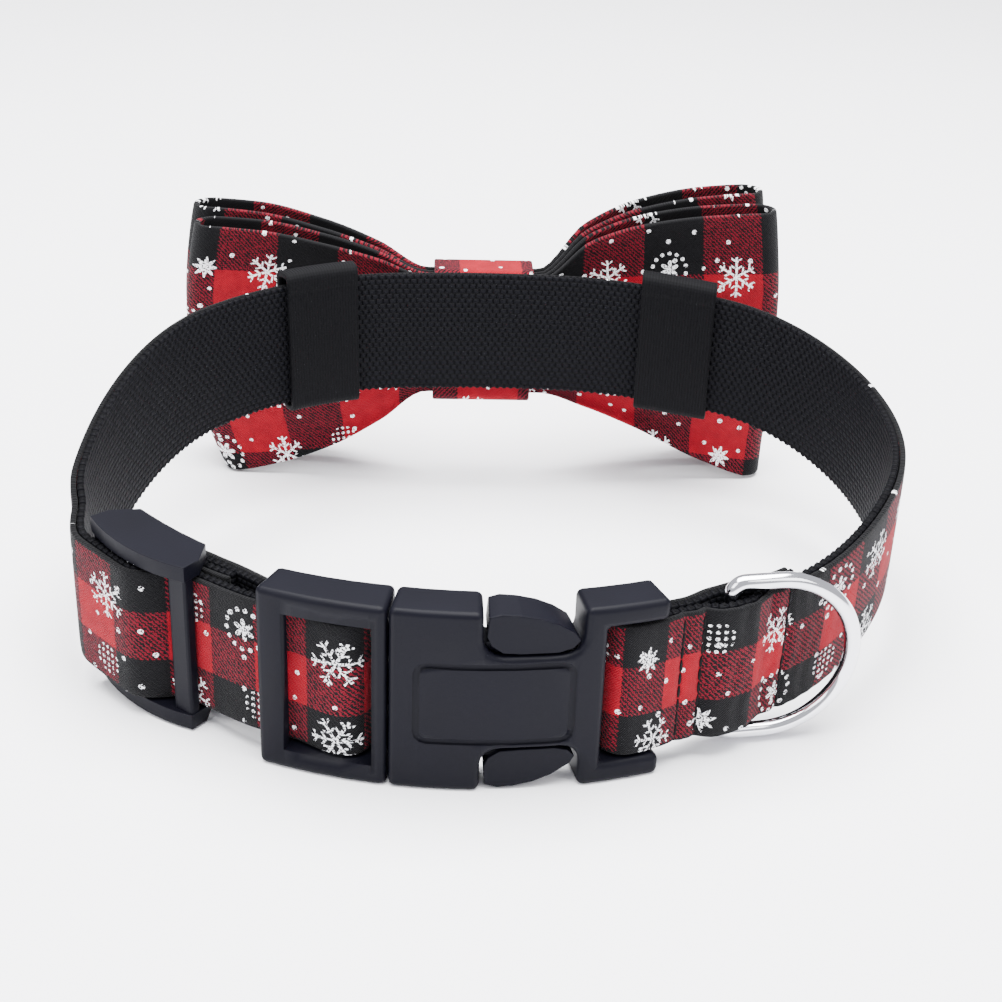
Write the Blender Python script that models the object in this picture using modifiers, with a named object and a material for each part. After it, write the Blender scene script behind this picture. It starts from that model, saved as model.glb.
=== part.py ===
"""Dog collar with a side-release buckle, a slider, a D-ring and a bow tie, standing on its edge.

Units are metres and +Z is up. The collar is laid out along its run: the closed line that the middle of the
outer webbing follows round the neck, seen from above. Pieces are first modelled flat, in run coordinates:
X is the distance along the run, Y points in towards the neck and Z across the strap. They are then bent
onto the run. The buckle faces -Y and the bow is at +Y.
"""

import math
from typing import NamedTuple

import bmesh
import bpy
import numpy as np
from mathutils import Matrix, Vector

NAME = "dog_collar"
GAP = 0.0003
OVERLAP = 0.0005

# Strap
LOOP_LENGTH = 0.410
STRAP_WIDTH = 0.025
WEBBING_THICKNESS = 0.0012
COVER_THICKNESS = 0.001
COVER_INSET = 0.0002
EDGE_CLEARANCE = 0.0004
SLOPE_CLEARANCE = 0.0004
BACK_RISE = 0.0205
COVER_WIDTH = STRAP_WIDTH - 2 * COVER_INSET
LAYER_PITCH = WEBBING_THICKNESS + GAP
COVER_OFFSET = (WEBBING_THICKNESS + COVER_THICKNESS) / 2 + GAP
COVER_FACE = COVER_OFFSET + COVER_THICKNESS / 2
WAY = STRAP_WIDTH / 2 + EDGE_CLEARANCE

# Buckle, along the run from its middle
SEAM = -0.0102
PLUG_LENGTH = 0.0213
SOCKET_LENGTH = 0.0442
BUCKLE_RAIL = 0.0038
BUCKLE_OUTER = 0.0033
BUCKLE_INNER = 0.0052
BUCKLE_ROUND = 0.0011
BUCKLE_TAPER = 0.75
BUCKLE_BAR_RADIUS = 0.0015
BUCKLE_BAR_DEPTH = 0.0016
BUCKLE_HEIGHT = 2 * (WAY + BUCKLE_RAIL)
PLUG_END = SEAM - PLUG_LENGTH
PLUG_END_BAR = 0.0045
PLUG_END_BAR_THICKNESS = 0.0022
PLUG_BAR_IN = 0.0137
PLUG_BAR_AT = PLUG_END + PLUG_BAR_IN
SHOULDER = 0.0022
SOCKET_END = SEAM + SOCKET_LENGTH
SOCKET_BAR_IN = 0.005
SOCKET_BAR_AT = SOCKET_END - SOCKET_BAR_IN
SOCKET_SLOT = 0.0102
SOCKET_WALL = 0.0017
NOTCH_IN = 0.0147
SOCKET_BRIDGE = 0.0036
NOTCH_LENGTH = SOCKET_LENGTH - SOCKET_SLOT - SOCKET_BRIDGE - NOTCH_IN
NOTCH_DEPTH = 0.0081
NOTCH_ROUND = 0.0032
NOTCH_START = SEAM + NOTCH_IN
NOTCH_END = NOTCH_START + NOTCH_LENGTH
NOTCH_FLOOR = BUCKLE_HEIGHT / 2 - NOTCH_DEPTH
CAVITY_SIDE = 0.0038
CAVITY_END = NOTCH_END - 0.0007
PRONG_UNDER = 0.0015
PRONG_WIDTH = 0.0036
PRONG_END = NOTCH_END - 0.0045
TONGUE_LENGTH = 0.016
TONGUE_WIDTH = 0.004
BUTTON_INSET = 0.0007
BUTTON_THICKNESS = BUCKLE_OUTER + BUCKLE_INNER - 2 * BUTTON_INSET
BUTTON_CLEARANCE = 0.0004
BUTTON_ROUND = 0.0009
PANEL_IN = 0.0041
PANEL_OUT = 0.0047
PANEL_LENGTH = SOCKET_LENGTH - SOCKET_SLOT - PANEL_IN - PANEL_OUT
PANEL_MARGIN = 0.001
PANEL_GROOVE = 0.0011
PANEL_DEPTH = 0.0004
PANEL_ROUND = 0.0022

# Slider
SLIDER_LENGTH = 0.0235
SLIDER_GAP = 0.0142
SLIDER_RAIL = 0.0028
SLIDER_BAR_RADIUS = 0.0012
SLIDER_END_BAR = 0.0042
SLIDER_END_BAR_THICKNESS = 0.0022
SLIDER_CREST = 0.0034
SLIDER_END_FACE = 0.002
SLIDER_INSET = 0.0002
SLIDER_ROUND = 0.0005
SLIDER_CHAMFER = 0.003
SLIDER_FLANK = 0.25
SLIDER_AT = PLUG_END - SLIDER_GAP - SLIDER_LENGTH / 2

# D-ring
RING_WIRE = 0.0028
RING_PLAY = 0.0014
RING_DEPTH = 0.0226
RING_CORNER = 0.0022
RING_FROM_SOCKET = 0.0135
RING_SWING_DEG = 17.0
RING_AT = SOCKET_END + RING_FROM_SOCKET

# Free ends of the strap, past the ring and past the slider
SEWN_TAIL = 0.014
SHORT_TAIL = 0.004

# Bow tie
BOW_SHIFT = 0.0154
BOW_WING = 0.064
BOW_RISE = 0.029
BOW_DROP = 0.0043
BOW_WALL = 0.0012
BOW_PUFF = 0.0026
BOW_WAIST = 0.0011
BOW_PLEAT = 0.0009
BOW_PLEATS = 2.5
BOW_BACK = 0.0045
BOW_SPARE = 0.0008
KNOT_WIDTH = 0.021
KNOT_WALL = 0.0012
KNOT_SLACK = 0.0005
KNOT_CORNER = 0.0013
ELASTIC_WIDTH = 0.0155
ELASTIC_THICKNESS = 0.0012
ELASTIC_LEFT = 0.0345
ELASTIC_RIGHT = 0.0405
ELASTIC_TOP_SLACK = 0.0016
ELASTIC_LOW_SLACK = 0.0008
ELASTIC_CORNER = 0.0013

# Spacing of the mesh along the run
BEND_STEP = 0.005
FINE_STEP = 0.0019
PLAIN_STEP = 0.0045


class Run(NamedTuple):
    """One stretch of the run: its length, how far it turns left, and how it stands at its far end.

    A length is a real length where a piece sets it, a share of the free length, or None where closing the
    loop sets it. rise is a share of BACK_RISE, and lean is how far the strap's top leans out.
    """

    name: str
    length: float | None
    share: float
    turn_deg: float
    rise: float
    lean_deg: float


RUNS = (
    Run("buckle_right", SOCKET_END, 0.0, 23.5, 0.0, 0.0),
    Run("right_front", None, 0.123, 11.0, 0.02, 1.0),
    Run("right_side", None, 0.175, 33.0, 0.28, 0.5),
    Run("right_back", None, 0.181, 37.5, 0.46, 1.0),
    Run("right_corner", None, 0.204, 66.5, 0.88, 2.0),
    Run("behind_bow_right", None, 0.0, 7.0, 1.0, 3.0),
    Run("behind_bow_left", None, 0.0, 10.0, 1.0, 3.0),
    Run("left_corner", None, 0.217, 43.0, 0.93, 3.0),
    Run("left_side", None, 0.0, 38.0, 0.28, 1.0),
    Run("slider_in", None, 0.082, 46.0, 0.02, 0.0),
    Run("slider", SLIDER_LENGTH, 0.0, 11.0, -0.03, 0.0),
    Run("slider_out", SLIDER_GAP, 0.0, 11.5, 0.0, 0.0),
    Run("buckle_left", -PLUG_END, 0.0, 22.0, 0.0, 0.0),
)
CLOSING = (("behind_bow_right", "behind_bow_left"), ("left_side",))


class Wing(NamedTuple):
    """One station of a bow's wings, from the knot to their ends, as shares of the bow's sizes.

    along is a share of the wing's length, up of the bow's rise over its waist, and down of the waist's height
    over the floor.
    """

    along: float
    up_left: float
    up_right: float
    down_left: float
    down_right: float
    puff: float
    back: float


WING = (
    Wing(0.00, 0.50, 0.50, 0.36, 0.36, 0.00, 0.00),
    Wing(0.19, 0.50, 0.50, 0.36, 0.36, 0.00, 0.00),
    Wing(0.36, 0.62, 0.79, 0.58, 0.46, 0.50, 0.30),
    Wing(0.55, 0.72, 0.92, 0.78, 0.62, 0.85, 0.60),
    Wing(0.78, 0.80, 0.98, 0.93, 0.86, 1.00, 0.90),
    Wing(1.00, 0.82, 1.00, 1.00, 1.00, 0.90, 1.00),
)


class Tuck(NamedTuple):
    """How far a wing's end draws in at its top and bottom, as shares of the wing's length."""

    top: float
    bottom: float


TUCK_LEFT = Tuck(0.045, 0.12)
TUCK_RIGHT = Tuck(0.045, 0.01)


class Bow(NamedTuple):
    """One of the stacked bows: its wings' lengths, its rise over that of the near bow, and its place."""

    name: str
    left: float
    right: float
    taller: float
    layer: int


NEAR_BOW = Bow("bow_near", 0.985 * BOW_WING, BOW_WING, 1.0, 0)
FAR_BOW = Bow("bow_far", 1.005 * BOW_WING, 0.975 * BOW_WING, 1.06, 1)


class Edge(NamedTuple):
    """A point of a release button's outline, as shares of its notch: along the run, and out from its floor."""

    along: float
    out: float


BUTTON = (
    Edge(0.01, 0.43),
    Edge(0.06, 0.20),
    Edge(0.18, 0.03),
    Edge(0.38, 0.00),
    Edge(0.76, 0.00),
    Edge(0.91, 0.08),
    Edge(0.99, 0.25),
    Edge(0.93, 0.44),
    Edge(0.76, 0.66),
    Edge(0.56, 0.82),
    Edge(0.35, 0.91),
    Edge(0.15, 0.94),
    Edge(0.03, 0.87),
)


def clear_scene():
    for obj in list(bpy.data.objects):
        bpy.data.objects.remove(obj, do_unlink=True)


def new_collection(name):
    collection = bpy.data.collections.new(name)
    bpy.context.scene.collection.children.link(collection)
    return collection


clear_scene()
PARTS = new_collection(NAME)
CUTTERS = new_collection(NAME + "_cutters")
CUTTERS.hide_render = True


def make_material(name, colour, roughness, metallic=0.0):
    material = bpy.data.materials.new(name)
    material.use_nodes = True
    shader = material.node_tree.nodes["Principled BSDF"]
    shader.inputs["Base Color"].default_value = (*colour, 1.0)
    shader.inputs["Roughness"].default_value = roughness
    shader.inputs["Metallic"].default_value = metallic
    return material


def add_object(name, mesh, collection):
    obj = bpy.data.objects.new(name, mesh)
    collection.objects.link(obj)
    if collection is CUTTERS:
        obj.hide_render = True
        obj.display_type = "WIRE"
    return obj


# The run


def free_stretches():
    """Lengths of the runs, with the free ones scaled and the closing ones solved so that the loop closes."""
    headings = np.radians(np.cumsum([0.0] + [run.turn_deg for run in RUNS]))
    per_metre = []
    for start, end in zip(headings[:-1], headings[1:]):
        turn = end - start
        per_metre.append(
            ((math.sin(end) - math.sin(start)) / turn, (math.cos(start) - math.cos(end)) / turn)
        )
    per_metre = np.column_stack([np.array(per_metre), np.ones(len(RUNS))])
    fixed = np.array([run.length or 0.0 for run in RUNS])
    shares = np.array([run.share for run in RUNS])
    closing = [np.array([float(run.name in names) for run in RUNS]) for names in CLOSING]
    unknowns = np.column_stack([shares @ per_metre] + [column @ per_metre for column in closing])
    wanted = np.array([0.0, 0.0, LOOP_LENGTH]) - fixed @ per_metre
    scale, *solved = np.linalg.solve(unknowns, wanted)
    return fixed + scale * shares + sum(size * column for size, column in zip(solved, closing)), headings


LENGTHS, HEADINGS = free_stretches()
KNOTS = np.concatenate([[0.0], np.cumsum(LENGTHS)])
RISES = BACK_RISE * np.array([0.0] + [run.rise for run in RUNS])
LEANS = np.radians([0.0] + [run.lean_deg for run in RUNS])
BOW_ROW = [run.name for run in RUNS].index("behind_bow_left")
BOW_AT = KNOTS[BOW_ROW] + BOW_SHIFT


def corner_points():
    points = [np.zeros(2)]
    for length, start, end in zip(LENGTHS, HEADINGS[:-1], HEADINGS[1:]):
        turn = end - start
        step = np.array([math.sin(end) - math.sin(start), math.cos(start) - math.cos(end)]) / turn
        points.append(points[-1] + length * step)
    return np.array(points)


CORNERS = corner_points()


def row_of(knots, at):
    return np.clip(np.searchsorted(knots, at, side="right") - 1, 0, len(knots) - 2)


def eased(knots, values, at, closed):
    """Smooth values through those at the knots, without overshoot, level at the ends unless closed."""
    lengths = np.diff(knots)
    slopes = np.diff(values) / lengths
    ends = (slopes[-1:], slopes[:1]) if closed else (np.zeros(1), np.zeros(1))
    before = np.concatenate([ends[0], slopes])
    after = np.concatenate([slopes, ends[1]])
    alike = before * after > 0
    total = np.where(alike, before + after, 1.0)
    tangents = np.where(alike, 2 * before * after / total, 0.0)
    row = row_of(knots, at)
    length = lengths[row]
    t = (at - knots[row]) / length
    start = values[row] * (1 + 2 * t) * (1 - t) ** 2 + length * tangents[row] * t * (1 - t) ** 2
    end = values[row + 1] * t**2 * (3 - 2 * t) + length * tangents[row + 1] * t**2 * (t - 1)
    return start + end


def frames(along):
    """Origins and axes of the run's frames: forward, inward and up, as arrays of world vectors."""
    along = np.mod(np.asarray(along, float), LOOP_LENGTH)
    row = row_of(KNOTS, along)
    start = HEADINGS[row]
    curve = (HEADINGS[row + 1] - start) / LENGTHS[row]
    heading = start + curve * (along - KNOTS[row])
    x = CORNERS[row, 0] + (np.sin(heading) - np.sin(start)) / curve
    y = CORNERS[row, 1] + (np.cos(start) - np.cos(heading)) / curve
    lean = eased(KNOTS, LEANS, along, closed=True)
    zero = np.zeros_like(x)
    origin = np.stack([x, y, BUCKLE_HEIGHT / 2 + eased(KNOTS, RISES, along, closed=True)], -1)
    forward = np.stack([np.cos(heading), np.sin(heading), zero], -1)
    side = np.stack([-np.sin(heading), np.cos(heading), zero], -1)
    up = np.array([0.0, 0.0, 1.0])
    inward = side * np.cos(lean)[:, None] + up * np.sin(lean)[:, None]
    across = up * np.cos(lean)[:, None] - side * np.sin(lean)[:, None]
    return origin, forward, inward, across


def on_run(points):
    """World points of flat points, given as along, inward and across."""
    points = np.asarray(points, float)
    origin, _, inward, across = frames(points[:, 0])
    return origin + inward * points[:, 1:2] + across * points[:, 2:3]


def frame_matrix(along):
    """Rigid placement of a piece at one point of the run."""
    origin, forward, inward, across = (array[0] for array in frames([along]))
    matrix = Matrix.Identity(4)
    for column, axis in enumerate((forward, inward, across, origin)):
        for row in range(3):
            matrix[row][column] = axis[row]
    return matrix


# Flat modelling


def mesh_points(mesh):
    points = np.empty(len(mesh.vertices) * 3)
    mesh.vertices.foreach_get("co", points)
    return points.reshape(-1, 3)


def set_mesh_points(mesh, points):
    mesh.vertices.foreach_set("co", np.ascontiguousarray(points, np.float32).ravel())
    mesh.update()


def evaluated_mesh(obj):
    graph = bpy.context.evaluated_depsgraph_get()
    return bpy.data.meshes.new_from_object(obj.evaluated_get(graph))


def freeze(obj):
    """Bakes an object's modifiers into its mesh."""
    mesh = evaluated_mesh(obj)
    obj.modifiers.clear()
    obj.data = mesh
    return obj


def add_bevel(obj, width, segments=2, angle_deg=40.0):
    bevel = obj.modifiers.new("round", "BEVEL")
    bevel.width = width
    bevel.segments = segments
    bevel.limit_method = "ANGLE"
    bevel.angle_limit = math.radians(angle_deg)


def boolean(obj, other, operation):
    modifier = obj.modifiers.new(other.name, "BOOLEAN")
    modifier.operation = operation
    modifier.solver = "EXACT"
    modifier.object = other


def box(name, low, high, collection=None):
    """Box primitive between two corners."""
    low, high = Vector(low), Vector(high)
    work = bmesh.new()
    bmesh.ops.create_cube(work, size=1.0)
    bmesh.ops.scale(work, vec=high - low, verts=work.verts)
    bmesh.ops.translate(work, vec=(low + high) / 2, verts=work.verts)
    mesh = bpy.data.meshes.new(name)
    work.to_mesh(mesh)
    work.free()
    return add_object(name, mesh, collection or CUTTERS)


def bar(name, centre, radius):
    """Round bar along Z, from rail to rail."""
    work = bmesh.new()
    length = 2 * (WAY + OVERLAP)
    bmesh.ops.create_cone(work, cap_ends=True, segments=14, radius1=radius, radius2=radius, depth=length)
    bmesh.ops.translate(work, vec=centre, verts=work.verts)
    mesh = bpy.data.meshes.new(name)
    work.to_mesh(mesh)
    work.free()
    return add_object(name, mesh, CUTTERS)


def plate(name, outline, thickness, centre, upright):
    """Extruded outline: in the XZ plane if upright, else in the XY plane."""
    curve = bpy.data.curves.new(name, "CURVE")
    curve.dimensions = "2D"
    curve.fill_mode = "BOTH"
    curve.extrude = thickness / 2
    spline = curve.splines.new("POLY")
    spline.points.add(len(outline) - 1)
    for point, (along, other) in zip(spline.points, outline):
        point.co = (along, other, 0.0, 1.0)
    spline.use_cyclic_u = True
    guide = add_object(name + "_outline", curve, CUTTERS)
    mesh = evaluated_mesh(guide)
    bpy.data.objects.remove(guide)
    work = bmesh.new()
    work.from_mesh(mesh)
    bmesh.ops.remove_doubles(work, verts=work.verts, dist=1e-7)
    if upright:
        turn = Matrix.Rotation(math.radians(90.0), 3, "X")
        bmesh.ops.rotate(work, cent=(0, 0, 0), matrix=turn, verts=work.verts)
    bmesh.ops.translate(work, vec=centre, verts=work.verts)
    bmesh.ops.recalc_face_normals(work, faces=work.faces)
    work.to_mesh(mesh)
    work.free()
    return add_object(name, mesh, CUTTERS)


def arc(centre, radius, start_deg, end_deg, count):
    """Points of an arc, both ends included."""
    angles = np.radians(np.linspace(start_deg, end_deg, count))
    return [(centre[0] + radius * math.cos(a), centre[1] + radius * math.sin(a)) for a in angles]


def rounded_rectangle(width, height, radius, per_corner=4):
    """Outline of a rounded rectangle about the origin."""
    x, y = width / 2 - radius, height / 2 - radius
    corners = ((x, y, 0), (-x, y, 90), (-x, -y, 180), (x, -y, 270))
    return [
        point
        for cx, cy, start in corners
        for point in arc((cx, cy), radius, start, start + 90, per_corner)
    ]


def bend(obj):
    """Cuts a flat piece across every few millimetres and bends it onto the run."""
    freeze(obj)
    work = bmesh.new()
    work.from_mesh(obj.data)
    xs = [vertex.co.x for vertex in work.verts]
    count = int((max(xs) - min(xs)) / BEND_STEP)
    for index in range(1, count + 1):
        at = min(xs) + index * (max(xs) - min(xs)) / (count + 1)
        bmesh.ops.bisect_plane(
            work,
            geom=work.verts[:] + work.edges[:] + work.faces[:],
            dist=1e-6,
            plane_co=(at, 0, 0),
            plane_no=(1, 0, 0),
        )
    bmesh.ops.triangulate(work, faces=work.faces)
    work.to_mesh(obj.data)
    work.free()
    set_mesh_points(obj.data, on_run(mesh_points(obj.data)))


def finish(obj, name, material, smooth_deg=35.0):
    """Moves a finished piece to the collar's collection, named and shaded."""
    for collection in list(obj.users_collection):
        collection.objects.unlink(obj)
    PARTS.objects.link(obj)
    obj.hide_render = False
    obj.display_type = "TEXTURED"
    obj.name = name
    obj.data.materials.clear()
    obj.data.materials.append(material)
    obj.data.shade_smooth()
    obj.data.set_sharp_from_angle(angle=math.radians(smooth_deg))
    return obj


def sheet(name, columns, rows, place, thickness, closed):
    """Thin walled piece: a grid whose points place(u, v) sets, thickened about its middle."""
    bpy.ops.mesh.primitive_grid_add(x_subdivisions=columns, y_subdivisions=rows, size=2.0)
    obj = bpy.context.object
    points = mesh_points(obj.data)
    u = (points[:, 0] + 1) / 2
    v = (points[:, 1] + 1) / 2
    set_mesh_points(obj.data, place(u, v))
    if closed:
        work = bmesh.new()
        work.from_mesh(obj.data)
        bmesh.ops.remove_doubles(work, verts=work.verts, dist=1e-6)
        work.to_mesh(obj.data)
        work.free()
    solid = obj.modifiers.new("wall", "SOLIDIFY")
    solid.thickness = thickness
    solid.offset = 0.0
    solid.use_even_offset = True
    freeze(obj)
    work = bmesh.new()
    work.from_mesh(obj.data)
    bmesh.ops.recalc_face_normals(work, faces=work.faces)
    work.to_mesh(obj.data)
    work.free()
    obj.name = name
    return obj


# The strap's route, in the plane of along and outward


class Stop(NamedTuple):
    """A place that the webbing's middle passes: along the run and outward of it."""

    along: float
    outward: float


def leg(stops, step=FINE_STEP):
    """Points of a stretch through its stops, eased level at each one."""
    points = []
    for start, end in zip(stops[:-1], stops[1:]):
        count = max(2, round(abs(end.along - start.along) / step))
        for index in range(count):
            t = index / count
            ease = t * t * (3 - 2 * t)
            points.append(
                (
                    start.along + (end.along - start.along) * t,
                    start.outward + (end.outward - start.outward) * ease,
                )
            )
    points.append((stops[-1].along, stops[-1].outward))
    return points


def turn_round(at, outward, radius, start_deg):
    """Points of a half turn, clockwise, round a bar."""
    return arc((at, outward), radius, start_deg, start_deg - 180, 9)


BUCKLE_TURN = BUCKLE_BAR_RADIUS + GAP + WEBBING_THICKNESS / 2
SLIDER_TURN = SLIDER_BAR_RADIUS + GAP + WEBBING_THICKNESS / 2
COVERED_PITCH = LAYER_PITCH + COVER_THICKNESS + GAP + SLOPE_CLEARANCE
INNER_RAMP = 0.006
OUTER_RAMP = 0.005
BAR_RAMP = 0.009
SLIDER_RAMP = 0.012
SLIDER_BULGE = 0.0006
SLIDER_END_SEAT = SLIDER_END_FACE - SLIDER_INSET - SLIDER_END_BAR_THICKNESS
SLIDER_DIP = SLIDER_END_SEAT - GAP - COVER_FACE
SLIDER_BAR_DEPTH = -(SLIDER_BULGE - COVERED_PITCH - SLIDER_TURN)
RING_BULGE = 0.0018
RING_BAR_DEPTH = WEBBING_THICKNESS / 2 + GAP + RING_WIRE / 2 - RING_BULGE
PLUG_DIP = -(COVER_FACE + GAP - (BUCKLE_OUTER - PLUG_END_BAR_THICKNESS))


def strap_route():
    """The webbing's middle, from the sewn tail at the socket to the short tail at the slider."""
    ring_below = -(RING_BAR_DEPTH + RING_WIRE / 2 + GAP + WEBBING_THICKNESS / 2)
    ring_start = RING_AT - RING_WIRE / 2 - GAP
    ring_end = RING_AT + RING_WIRE / 2 + GAP
    inner_layer = -LAYER_PITCH - GAP
    points = leg(
        [
            Stop(RING_AT + SEWN_TAIL, inner_layer),
            Stop(ring_end + INNER_RAMP, inner_layer),
            Stop(ring_end, ring_below),
            Stop(ring_start, ring_below),
            Stop(ring_start - INNER_RAMP, inner_layer),
            Stop(SOCKET_BAR_AT + BAR_RAMP, inner_layer),
            Stop(SOCKET_BAR_AT, -(BUCKLE_BAR_DEPTH + BUCKLE_TURN)),
        ]
    )
    points += turn_round(SOCKET_BAR_AT, -BUCKLE_BAR_DEPTH, BUCKLE_TURN, 270)[1:]
    slider = LOOP_LENGTH + SLIDER_AT
    half = SLIDER_LENGTH / 2
    window = half - SLIDER_END_BAR
    points += leg(
        [
            Stop(SOCKET_BAR_AT, -(BUCKLE_BAR_DEPTH - BUCKLE_TURN)),
            Stop(SOCKET_BAR_AT + BAR_RAMP, 0.0),
            Stop(ring_start - OUTER_RAMP, 0.0),
            Stop(ring_start, RING_BULGE),
            Stop(ring_end, RING_BULGE),
            Stop(ring_end + OUTER_RAMP, 0.0),
        ]
    )[1:]
    plain = [Stop(ring_end + OUTER_RAMP, 0.0), Stop(slider - half - SLIDER_RAMP, 0.0)]
    points += leg(plain, step=PLAIN_STEP)[1:]
    plug_end = LOOP_LENGTH + PLUG_END
    plug_bar = LOOP_LENGTH + PLUG_BAR_AT
    points += leg(
        [
            Stop(slider - half - SLIDER_RAMP, 0.0),
            Stop(slider - half, SLIDER_DIP),
            Stop(slider - window, SLIDER_DIP),
            Stop(slider, SLIDER_BULGE),
            Stop(slider + window, SLIDER_DIP),
            Stop(slider + half, SLIDER_DIP),
            Stop(plug_end, PLUG_DIP),
            Stop(plug_end + PLUG_END_BAR, PLUG_DIP),
            Stop(plug_bar, -(BUCKLE_BAR_DEPTH - BUCKLE_TURN)),
        ]
    )[1:]
    points += turn_round(plug_bar, -BUCKLE_BAR_DEPTH, BUCKLE_TURN, 90)[1:]
    tail_dip = SLIDER_DIP - COVERED_PITCH
    inner_dip = tail_dip - LAYER_PITCH - GAP / 2
    points += leg(
        [
            Stop(plug_bar, -(BUCKLE_BAR_DEPTH + BUCKLE_TURN)),
            Stop(plug_end + PLUG_END_BAR, -(BUCKLE_BAR_DEPTH + BUCKLE_TURN)),
            Stop(slider + half, inner_dip),
            Stop(slider + window, inner_dip),
            Stop(slider, -(SLIDER_BAR_DEPTH + SLIDER_TURN)),
        ]
    )[1:]
    points += turn_round(slider, -SLIDER_BAR_DEPTH, SLIDER_TURN, 270)[1:]
    points += leg(
        [
            Stop(slider, -(SLIDER_BAR_DEPTH - SLIDER_TURN)),
            Stop(slider + window, tail_dip),
            Stop(slider + half + SHORT_TAIL, tail_dip),
        ]
    )[1:]
    return np.array(points)


def offset_route(route, distance):
    """The route moved to its left, the side that the cover lies on."""
    steps = np.gradient(route, axis=0)
    steps /= np.linalg.norm(steps, axis=1)[:, None]
    return route + distance * np.column_stack([-steps[:, 1], steps[:, 0]])


def strap_layer(name, route, width, thickness):
    """One layer of the strap: a strip along the route, with its thickness about the route."""

    def place(u, v):
        index = np.rint(u * (len(route) - 1)).astype(int)
        flat = np.column_stack([route[index, 0], -route[index, 1], (v - 0.5) * width])
        return on_run(flat)

    return sheet(name, len(route) - 1, 1, place, thickness, closed=False)


# Buckle


def thin_ends(obj):
    """Thins the buckle's inner wall from the seam towards the strap."""
    inner_wall = BUCKLE_INNER - SOCKET_WALL
    points = mesh_points(obj.data)
    share = np.abs(points[:, 0] - SEAM) / SOCKET_LENGTH
    beyond = np.maximum(points[:, 1] - inner_wall, 0.0)
    points[:, 1] -= BUCKLE_TAPER * share * beyond
    set_mesh_points(obj.data, points)


def buckle_plug():
    """The half with the strap's ladder frame, its prongs and their release buttons."""
    half = BUCKLE_HEIGHT / 2
    frame = box("plug_frame", (PLUG_END, -BUCKLE_OUTER, -half), (SEAM, BUCKLE_INNER, half))
    add_bevel(frame, BUCKLE_ROUND, 3)
    freeze(frame)
    window = box(
        "plug_window",
        (PLUG_END + PLUG_END_BAR, -BUCKLE_OUTER - OVERLAP, -WAY),
        (SEAM - SHOULDER, BUCKLE_INNER + OVERLAP, WAY),
    )
    under = box(
        "plug_strap_way",
        (PLUG_END - OVERLAP, -BUCKLE_OUTER + PLUG_END_BAR_THICKNESS, -WAY),
        (PLUG_END + PLUG_END_BAR + OVERLAP, BUCKLE_INNER + OVERLAP, WAY),
    )
    boolean(frame, window, "DIFFERENCE")
    boolean(frame, under, "DIFFERENCE")
    cross = bar("plug_bar", (PLUG_BAR_AT, BUCKLE_BAR_DEPTH, 0.0), BUCKLE_BAR_RADIUS)
    boolean(frame, cross, "UNION")
    low = -BUCKLE_OUTER + SOCKET_WALL + GAP
    high = BUCKLE_INNER - SOCKET_WALL - GAP
    tongue = box(
        "plug_tongue",
        (SEAM - OVERLAP, low, -TONGUE_WIDTH / 2),
        (SEAM + TONGUE_LENGTH, high, TONGUE_WIDTH / 2),
    )
    boolean(frame, tongue, "UNION")
    middle = (BUCKLE_INNER - BUCKLE_OUTER) / 2
    prong_inner = NOTCH_FLOOR - PRONG_UNDER
    edges = [
        (
            NOTCH_START + BUTTON_CLEARANCE + edge.along * (NOTCH_LENGTH - 2 * BUTTON_CLEARANCE),
            NOTCH_FLOOR + BUTTON_CLEARANCE + edge.out * (NOTCH_DEPTH - BUTTON_CLEARANCE),
        )
        for edge in BUTTON
    ]
    for side in (-1, 1):
        inner, outer = sorted((side * prong_inner, side * (prong_inner + PRONG_WIDTH)))
        prong = box(
            f"plug_prong_{side}",
            (SEAM - OVERLAP, low, inner),
            (PRONG_END, high, outer),
        )
        outline = [(along, side * across) for along, across in edges]
        button = plate(f"plug_button_{side}", outline, BUTTON_THICKNESS, (0, middle, 0), upright=True)
        add_bevel(button, BUTTON_ROUND, 2)
        freeze(button)
        boolean(frame, prong, "UNION")
        boolean(frame, button, "UNION")
    freeze(frame)
    thin_ends(frame)
    bend(frame)
    return frame


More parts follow.
